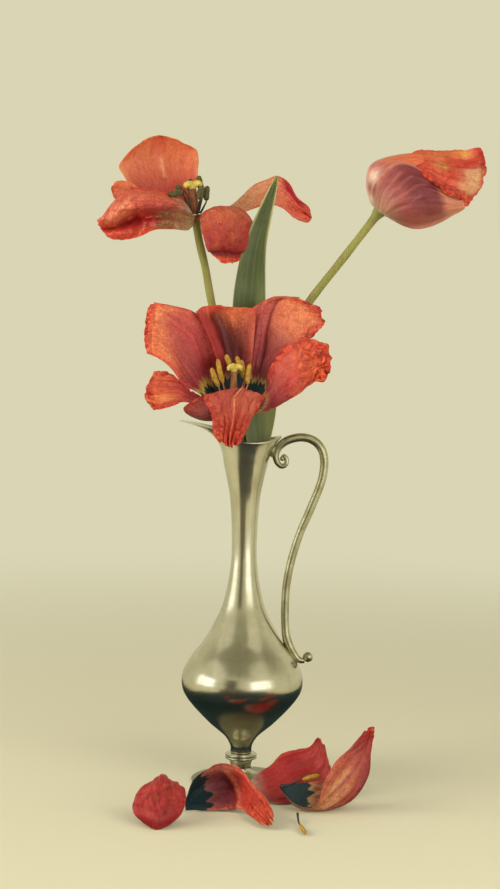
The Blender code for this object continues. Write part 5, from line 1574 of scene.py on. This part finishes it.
# The petals at the front: rows of points from the base to the tip, and the look
NEAR_BUD_PETALS = {
    "right_petal_1": ([
        [(84, 0, 355), (82, -4, 356), (80.5, -5, 356.5), (79.5, -3, 357.5), (79, -1, 358)],
        [(89, -4, 352), (85.5, -12, 354.5), (82, -15, 358), (78.5, -12, 361.5), (76.5, -8, 364)],
        [(95.5, -4, 349), (91.5, -17, 355.5), (86.5, -21, 363), (81, -18, 369), (77, -14, 371.5)],
        [(102.5, -3, 347.5), (99, -19, 355.5), (94, -24, 366), (87.5, -21, 374.5),
         (80.5, -17, 381)],
        [(111, -3, 349), (106.5, -19, 358), (102.5, -23.5, 369.5), (97, -20, 379.5),
         (88.5, -16, 387.5)],
        [(118, -2, 352), (114.5, -17.5, 359), (111.5, -21.5, 369), (106, -18.5, 378),
         (98, -14, 386)],
        [(125, -2, 356.5), (121.5, -15, 360.5), (119, -18.5, 366.5), (114, -17, 373),
         (107, -14, 380.5)],
        [(129.5, -3, 359), (127, -12.5, 361), (125, -15.5, 364.5), (121.5, -15.5, 368.5),
         (116, -15, 372)],
        [(132, -6, 361), (131, -11, 362.5), (130, -12.5, 364), (128, -13.5, 366),
         (125.5, -14, 367.5)],
    ], Look(
        slot="petal_mauve",
        along=[(0, (170, 138, 104)), (0.12, (172, 102, 90)), (0.35, (164, 82, 80)),
               (0.52, (134, 54, 56)), (0.65, (138, 54, 54)), (0.73, (208, 132, 100)),
               (1, (214, 140, 106))],
        bands=[(0.42, 0.69, -0.4, 0.62, 0.06, (122, 42, 48), 0.9)],
        marks=[(0.45, -0.8, 0.3, 0.2, (170, 84, 66), 0.8),
               (0.2, 0.3, 0.08, 0.3, (190, 124, 110), 0.5)],
        lines=[((0.1, 0.3), (0.45, 0.65), 0.02, (206, 144, 124), 0.4),
               ((0.1, 0.1), (0.5, 0.45), 0.016, (196, 130, 114), 0.4),
               ((0.12, -0.1), (0.6, 0.25), 0.02, (196, 130, 112), 0.35),
               ((0.15, -0.4), (0.5, -0.1), 0.016, (186, 120, 112), 0.35)],
        rim=((224, 150, 126), 0.6), shade=0.84, mauve=0.0, pale=0.3, cool=1.0, painted_glints=0.12,
        creases=[((0.1, 0.4), (0.5, 0.75), 0.03, -0.5), ((0.1, 0), (0.6, 0.3), 0.03, -0.5),
                 ((0.15, -0.3), (0.75, 0.1), 0.03, -0.4), ((0.3, 0.5), (0.7, 0.6), 0.03, 0.4)],
        dry_rim=0.0, ruffle=(0.2, 5.0), wrinkle=0.6, crumple=0.2, curl=0.4, fray=0.0,
        roundness=0.1)),
    "right_petal_2": ([
        [(79, 1, 358), (78, 3, 359), (77, 5, 360.5), (77, 8, 361), (77.5, 11, 361.5)],
        [(82, -5, 360), (75, -3, 363), (73.5, 5, 366), (74.5, 12, 367), (76, 18, 368)],
        [(83, -11, 367), (74, -9, 371), (72, 3, 374.5), (72.5, 14, 376.5), (75, 22, 377.5)],
        [(89, -14, 372.5), (78, -12, 380.5), (73, -2, 383.5), (74.5, 12, 386), (78, 22, 386.5)],
        [(94.5, -14, 378), (85, -12, 386), (79.5, -4, 388.5), (82, 10, 390.5), (86, 20, 390.5)],
        [(98.5, -11, 383.5), (93.5, -10, 388.5), (90, -4, 391.5), (92.5, 8, 393), (95.5, 18, 393)],
        [(104, -9, 387), (101, -8, 390), (99.5, -3, 393), (101.5, 8, 394), (103.5, 15, 394)],
        [(108, -7, 388.5), (106, -6, 390.5), (105, -3, 392.5), (106, 5, 393.5),
         (107.5, 11, 393.5)],
    ], Look(
        slot="petal_mauve",
        along=[(0, (170, 156, 120)), (0.15, (184, 140, 124)), (0.3, (196, 134, 126)),
               (0.5, (184, 106, 98)), (0.62, (204, 116, 82)), (0.8, (212, 106, 62)),
               (1, (214, 104, 64))],
        # painted highlight: the first mark is a whitish lit place on the left of the petal
        marks=[(0.38, -0.5, 0.07, 0.35, (238, 220, 190), 0.9),
               (0.29, -0.5, 0.055, 0.32, (98, 60, 40), 0.95),
               (0.19, -0.35, 0.05, 0.4, (222, 198, 176), 0.8),
               (0.3, -0.7, 0.1, 0.25, (176, 98, 98), 0.7),
               (0.95, -0.2, 0.12, 0.5, (216, 122, 70), 0.6)],
        lines=[((0.1, -0.6), (0.5, -0.5), 0.012, (214, 166, 156), 0.6),
               ((0.12, -0.2), (0.5, -0.1), 0.012, (160, 84, 86), 0.6)],
        rim=(SALMON, 0.3), mauve=0.0, pale=0.3, cool=1.0, painted_glints=0.12, dry_rim=0.1,
        ruffle=(0.3, 5.0), wrinkle=0.4, crumple=0.5, fray=0.0, roundness=0.1)),
    "right_petal_4": ([
        [(81, -2, 358), (80.5, -1, 358), (80, 0, 358.5), (80, 1, 359), (80, 2, 359.5)],
        [(91, -10, 365.5), (90, -10, 369.5), (89.5, -8, 373.5), (88.5, -6, 377.5),
         (88, -2, 381.5)],
        [(98.5, -12, 375), (98.5, -12, 378.5), (99, -10, 382.5), (99.5, -6, 387.5), (100, 2, 394)],
        [(105.5, -18, 378), (106.5, -17, 380.5), (108, -13, 384), (109, -8, 389), (110.5, 2, 396)],
        [(112.5, -20, 373.5), (114, -18.5, 376), (116, -13, 381), (116.5, -9, 388),
         (118.5, 2, 396.5)],
        [(119.5, -19, 368), (122, -17, 372.5), (124, -12, 379), (125, -8, 387.5), (126, 2, 397)],
        [(128.5, -14.5, 364.5), (131, -12, 370), (132.5, -9, 378), (132, -6, 387), (132, 1, 396)],
        [(132, -6.5, 361), (136, -6, 369.5), (139.5, -5, 378.5), (139, -3, 388), (137, 1, 397.5)],
        [(134.5, -3, 363.5), (141.5, -1, 375), (144.5, -1, 382.5), (144.5, 0, 390.5),
         (142, 1, 398.5)],
    ], Look(
        cells=FINE_CELLS,
        along=[(0, CRIMSON), (0.4, ORANGE_RED), (0.6, (214, 80, 52)), (0.8, (220, 106, 66)),
               (1, (202, 60, 46))],
        bands=[(0.70, 0.94, -0.5, 0.35, 0.05, (214, 168, 122), 0.85),
               (0.55, 0.86, 0.36, 0.72, 0.04, (200, 48, 42), 0.85),
               (0.92, 1.1, 0.2, 1.2, 0.04, (178, 30, 38), 0.9)],
        marks=[(0.45, 0.85, 0.22, 0.3, (216, 112, 68), 0.95),
               (0.72, 0.92, 0.08, 0.16, (228, 176, 74), 0.9),
               (0.5, 0.3, 0.07, 0.18, (200, 166, 84), 0.8),
               (0.48, 0.85, 0.12, 0.2, (220, 120, 62), 0.7)],
        lines=[((0.4, 0.35), (0.85, 0.35), 0.012, (170, 26, 32), 0.7),
               ((0.5, -0.3), (0.7, -0.55), 0.012, (180, 36, 34), 0.7)],
        rim=(ORANGE_RED, 0.3), shade=0.86, mauve=0.0, pale=0.0, painted_glints=0.2, crisp=0.7,
        creases=[((0.6, 0.7), (0.95, 0.75), 0.04, -1.6), ((0.45, 0.3), (0.85, 0.3), 0.04, 1.8),
                 ((0.75, 0), (0.95, -0.4), 0.04, 1.4), ((0.5, -0.2), (0.8, -0.6), 0.04, -1.6)],
        dry=[(0.6, -0.9, 0.5, 0.42, 1), (0.6, 0.1, 0.2, 0.4, 0.35), (0.96, 0.4, 0.10, 0.6, 0.5)],
        dry_rim=0.25, ruffle=(0.9, 8.0), wrinkle=0.5, crumple=2.3, crumple_scale=0.22, fray=0.01,
        roundness=0.1)),
}
FAR_BUD_LOOK = Look(
    slot="petal_mauve",
    along=[(0.0, (180, 150, 120)), (0.3, (180, 96, 92)), (0.7, (196, 84, 64)),
           (1.0, ORANGE_RED)],
    mauve=0.25, ruffle=(0.4, 5.0), wrinkle=0.3, crumple=0.5)


def bud_point(ring_place, degrees, layer):
    """Point on the shut flower, on the given layer of its wrapped petals."""
    index = min(int(ring_place), len(BUD_RINGS) - 2)
    f = ring_place - index
    low, high = np.array(BUD_RINGS[index]), np.array(BUD_RINGS[index + 1])
    along, offset, radius, lean = low + (high - low) * f
    spread = float(smooth_step(0.0, 1.0, (ring_place - 0.2) / 2.6))
    base_depth = BASE_WHORL_STEP if layer > 2 else 0.0
    depth = base_depth + (layer * LAYER_STEP - base_depth) * spread
    inward = float(smooth_step(0.0, 1.0, ring_place / 3.0))
    radius -= depth * inward
    along += depth * (1 - inward)
    angle = math.radians(degrees)
    axis = np.array((math.cos(BUD_AXIS_RISE), 0.0, math.sin(BUD_AXIS_RISE)))
    up = np.array((-math.sin(BUD_AXIS_RISE), 0.0, math.cos(BUD_AXIS_RISE)))
    front = np.array((0.0, -1.0, 0.0))
    height = offset + radius * math.cos(angle)
    along -= lean * (height - offset)
    return BUD_ORIGIN + along * axis + height * up + radius * math.sin(angle) * front


def make_shut_flower():
    """Wrapped petals at the back, on the rings, and three formed ones at the front."""
    rows_in_net, columns_in_net = 25, 13
    u, v = np.meshgrid(np.linspace(0, 1, rows_in_net), np.linspace(0, 1, columns_in_net),
                       indexing="ij")
    for number, (name, (layer, rows)) in enumerate(BUD_PETALS.items(), start=20):
        rows = np.array(rows, dtype=float)
        flat = np.concatenate((rows, np.zeros(rows.shape[:2] + (1,))), axis=2)
        places = surface_at(flat, u.ravel(), v.ravel())
        net = np.array([bud_point(p[0], p[1], layer) for p in places])
        net = net.reshape(rows_in_net, columns_in_net, 3)
        make_petal(name, net, number, FAR_BUD_LOOK)
    for number, (name, (rows, look)) in enumerate(NEAR_BUD_PETALS.items(), start=30):
        make_petal(name, rows, number, look)


# ---------------------------------------------------------------- stage

BACKGROUND = screen(218, 213, 180)
CAMERA_PLACE = (0.0025, -1.3, 0.325)
CAMERA_PITCH = math.radians(4.95)
CAMERA_ROLL = math.radians(0.95)
CAMERA_LENS = 84.92
FLOWERS_Z = 0.22

# Edge of the dark table as degrees from the front towards the right, and metres
DARK_TABLE_EDGE = [
    (-180, 0.45), (-150, 0.40), (-122, 0.26), (-98, 0.20), (-86, 0.22), (-78, 0.24),
    (-60, 0.26), (-44, 0.30), (-38, 1.6), (-10, 2.0), (0, 2.0), (8, 0.60), (40, 0.50),
    (54, 0.26), (90, 0.20), (122, 0.26), (150, 0.40),
]


def spot_at(degrees, distance, height):
    """Place at an angle from the front (-Y) towards the right, in metres."""
    angle = math.radians(degrees)
    return Vector((math.sin(angle) * distance, -math.cos(angle) * distance, height))


def make_camera():
    """Level eye in front of the vase, looking a little down and tipped a little."""
    level_up = Vector((0.0, math.sin(CAMERA_PITCH), math.cos(CAMERA_PITCH)))
    ahead = Vector((0.0, math.cos(CAMERA_PITCH), -math.sin(CAMERA_PITCH)))
    side = Vector((1.0, 0.0, 0.0))
    right = math.cos(CAMERA_ROLL) * side + math.sin(CAMERA_ROLL) * level_up
    up = -math.sin(CAMERA_ROLL) * side + math.cos(CAMERA_ROLL) * level_up
    data = bpy.data.cameras.new("camera")
    data.lens = CAMERA_LENS
    data.sensor_width = 36.0
    data.clip_start = 0.05
    data.clip_end = 50.0
    camera = bpy.data.objects.new("camera", data)
    turned = Matrix((right, up, -ahead)).transposed().to_4x4()
    camera.matrix_world = Matrix.Translation(CAMERA_PLACE) @ turned
    bpy.context.scene.collection.objects.link(camera)
    bpy.context.scene.camera = camera


def make_world():
    """A pale wall for the camera and for shines, and a fainter even light for the rest."""
    world = bpy.data.worlds.new("room")
    world.use_nodes = True
    bpy.context.scene.world = world
    world.node_tree.nodes.clear()
    f = Nodes(world.node_tree)
    rays = f.node("ShaderNodeLightPath").outputs
    shine = f.math("MAXIMUM", rays["Is Glossy Ray"], rays["Is Transmission Ray"])
    seen = f.math("MAXIMUM", rays["Is Camera Ray"], shine)
    _, _, height = f.parts(f.node("ShaderNodeTexCoord").outputs["Generated"])
    shade = f.blend(f.spread(height, 0.42, 0.80), BACKGROUND, screen(150, 146, 118))
    wall = f.join_all(f.node("ShaderNodeBackground"), shade, 1.0)
    light = f.join_all(f.node("ShaderNodeBackground"), screen(255, 251, 242), 0.50)
    f.show(f.node("ShaderNodeOutputWorld"), f.blend_shaders(seen, light, wall))


def make_floor():
    """Wide pale floor: it takes the shadow near the vase and turns into the wall's colour."""
    deselect()
    bpy.ops.mesh.primitive_circle_add(vertices=96, radius=14.0, fill_type="TRIFAN")
    floor = bpy.context.object
    floor.name = "floor"
    floor.location.z = -0.0002
    f = Finish("pale_floor")
    f.set(Base_Color=BACKGROUND, Roughness=0.9, Specular_IOR_Level=0.1)
    far = f.spread(f.length(f.object_place()), 0.22, 1.1)
    glow = f.join_all(f.node("ShaderNodeEmission"), BACKGROUND)
    f.show(f.tree.nodes["Material Output"], f.blend_shaders(far, f.shader.outputs[0], glow))
    floor.data.materials.append(f.material)


def add_lamp(name, degrees, distance, height, width, tall, power):
    """Soft box aimed at the flowers."""
    spot = spot_at(degrees, distance, height)
    data = bpy.data.lights.new(name, "AREA")
    data.shape = "RECTANGLE"
    data.size = width
    data.size_y = tall
    data.energy = power
    data.color = screen(255, 250, 240)[:3]
    lamp = bpy.data.objects.new(name, data)
    lamp.location = spot
    aim = Vector((0.0, 0.0, FLOWERS_Z)) - spot
    lamp.rotation_euler = aim.to_track_quat("-Z", "Y").to_euler()
    lamp.visible_camera = False
    lamp.visible_glossy = False
    bpy.context.scene.collection.objects.link(lamp)


def only_in_metal(card, glow, strength=1.0):
    """Makes a glowing card that is seen in the metal's shine and nowhere else."""
    f = Finish(card.name + "_cloth")
    if callable(glow):
        glow = glow(f)
    f.set(Base_Color=(0.0, 0.0, 0.0, 1.0), Roughness=1.0, Specular_IOR_Level=0.0,
          Emission_Color=glow, Emission_Strength=strength)
    card.data.materials.append(f.material)
    card.visible_camera = False
    card.visible_diffuse = False
    card.visible_shadow = False
    card.visible_transmission = False


def add_dark_table():
    """Dark sheet on the floor, paler far out, for the shine under the bowl."""
    deselect()
    bpy.ops.mesh.primitive_circle_add(vertices=len(DARK_TABLE_EDGE), radius=1.0,
                                      fill_type="TRIFAN")
    sheet = bpy.context.object
    sheet.name = "dark_table"
    rim = [v for v in sheet.data.vertices if v.co.length > 0.5]
    rim.sort(key=lambda v: math.atan2(v.co.x, -v.co.y))
    for vertex, (degrees, distance) in zip(rim, DARK_TABLE_EDGE):
        vertex.co = spot_at(degrees, distance, 0.0)
    sheet.location.z = 0.0004
    only_in_metal(sheet, lambda f: f.blend(f.spread(f.length(f.object_place()), 0.12, 0.62),
                                           screen(44, 58, 56), screen(116, 106, 82)))


def add_card(name, degrees, distance, height, width, tall, shade, strength=1.0):
    """Plain card for the metal to mirror: dark, or bright like a window."""
    deselect()
    bpy.ops.mesh.primitive_plane_add(size=1.0)
    card = bpy.context.object
    card.name = name
    card.scale = (width, tall, 1.0)
    spot = spot_at(degrees, distance, height)
    card.location = spot
    card.rotation_euler = (Vector((0.0, 0.0, height)) - spot).to_track_quat("Z", "Y").to_euler()
    only_in_metal(card, screen(*shade), strength)


make_camera()
make_world()
make_floor()
add_lamp("left_window", -72, 1.5, 0.72, 1.2, 1.4, 25.0)
add_lamp("right_window", 36, 0.95, 0.46, 0.80, 0.90, 7.0)
add_card("left_pane", -74, 1.5, 0.39, 1.05, 0.70, (255, 253, 244), 2.0)
add_card("left_curtain", -66, 1.5, 1.30, 1.60, 1.15, (232, 226, 198))
add_card("right_pane", 37, 0.95, 0.25, 0.70, 0.46, (255, 253, 244), 2.0)
add_card("right_curtain", 45, 0.95, 1.02, 0.88, 1.06, (232, 226, 194))
add_card("dark_card", -20, 2.0, 0.55, 0.8, 1.2, (88, 78, 62))
add_dark_table()

make_vase()
make_handle()
make_stems()
make_leaf()
make_open_flower("center", CENTER_PETALS, CENTER_SEAT, CENTER_STAMENS, CENTER_STIGMA,
                 POLLEN, PALE_FILAMENT, 1, 1.05)
make_open_flower("left", LEFT_PETALS, LEFT_SEAT, LEFT_STAMENS, LEFT_STIGMA,
                 DARK_POLLEN, FILAMENT, 10, 1.3)
make_shut_flower()
make_fallen_pieces()

bpy.context.scene.view_settings.view_transform = "Standard"
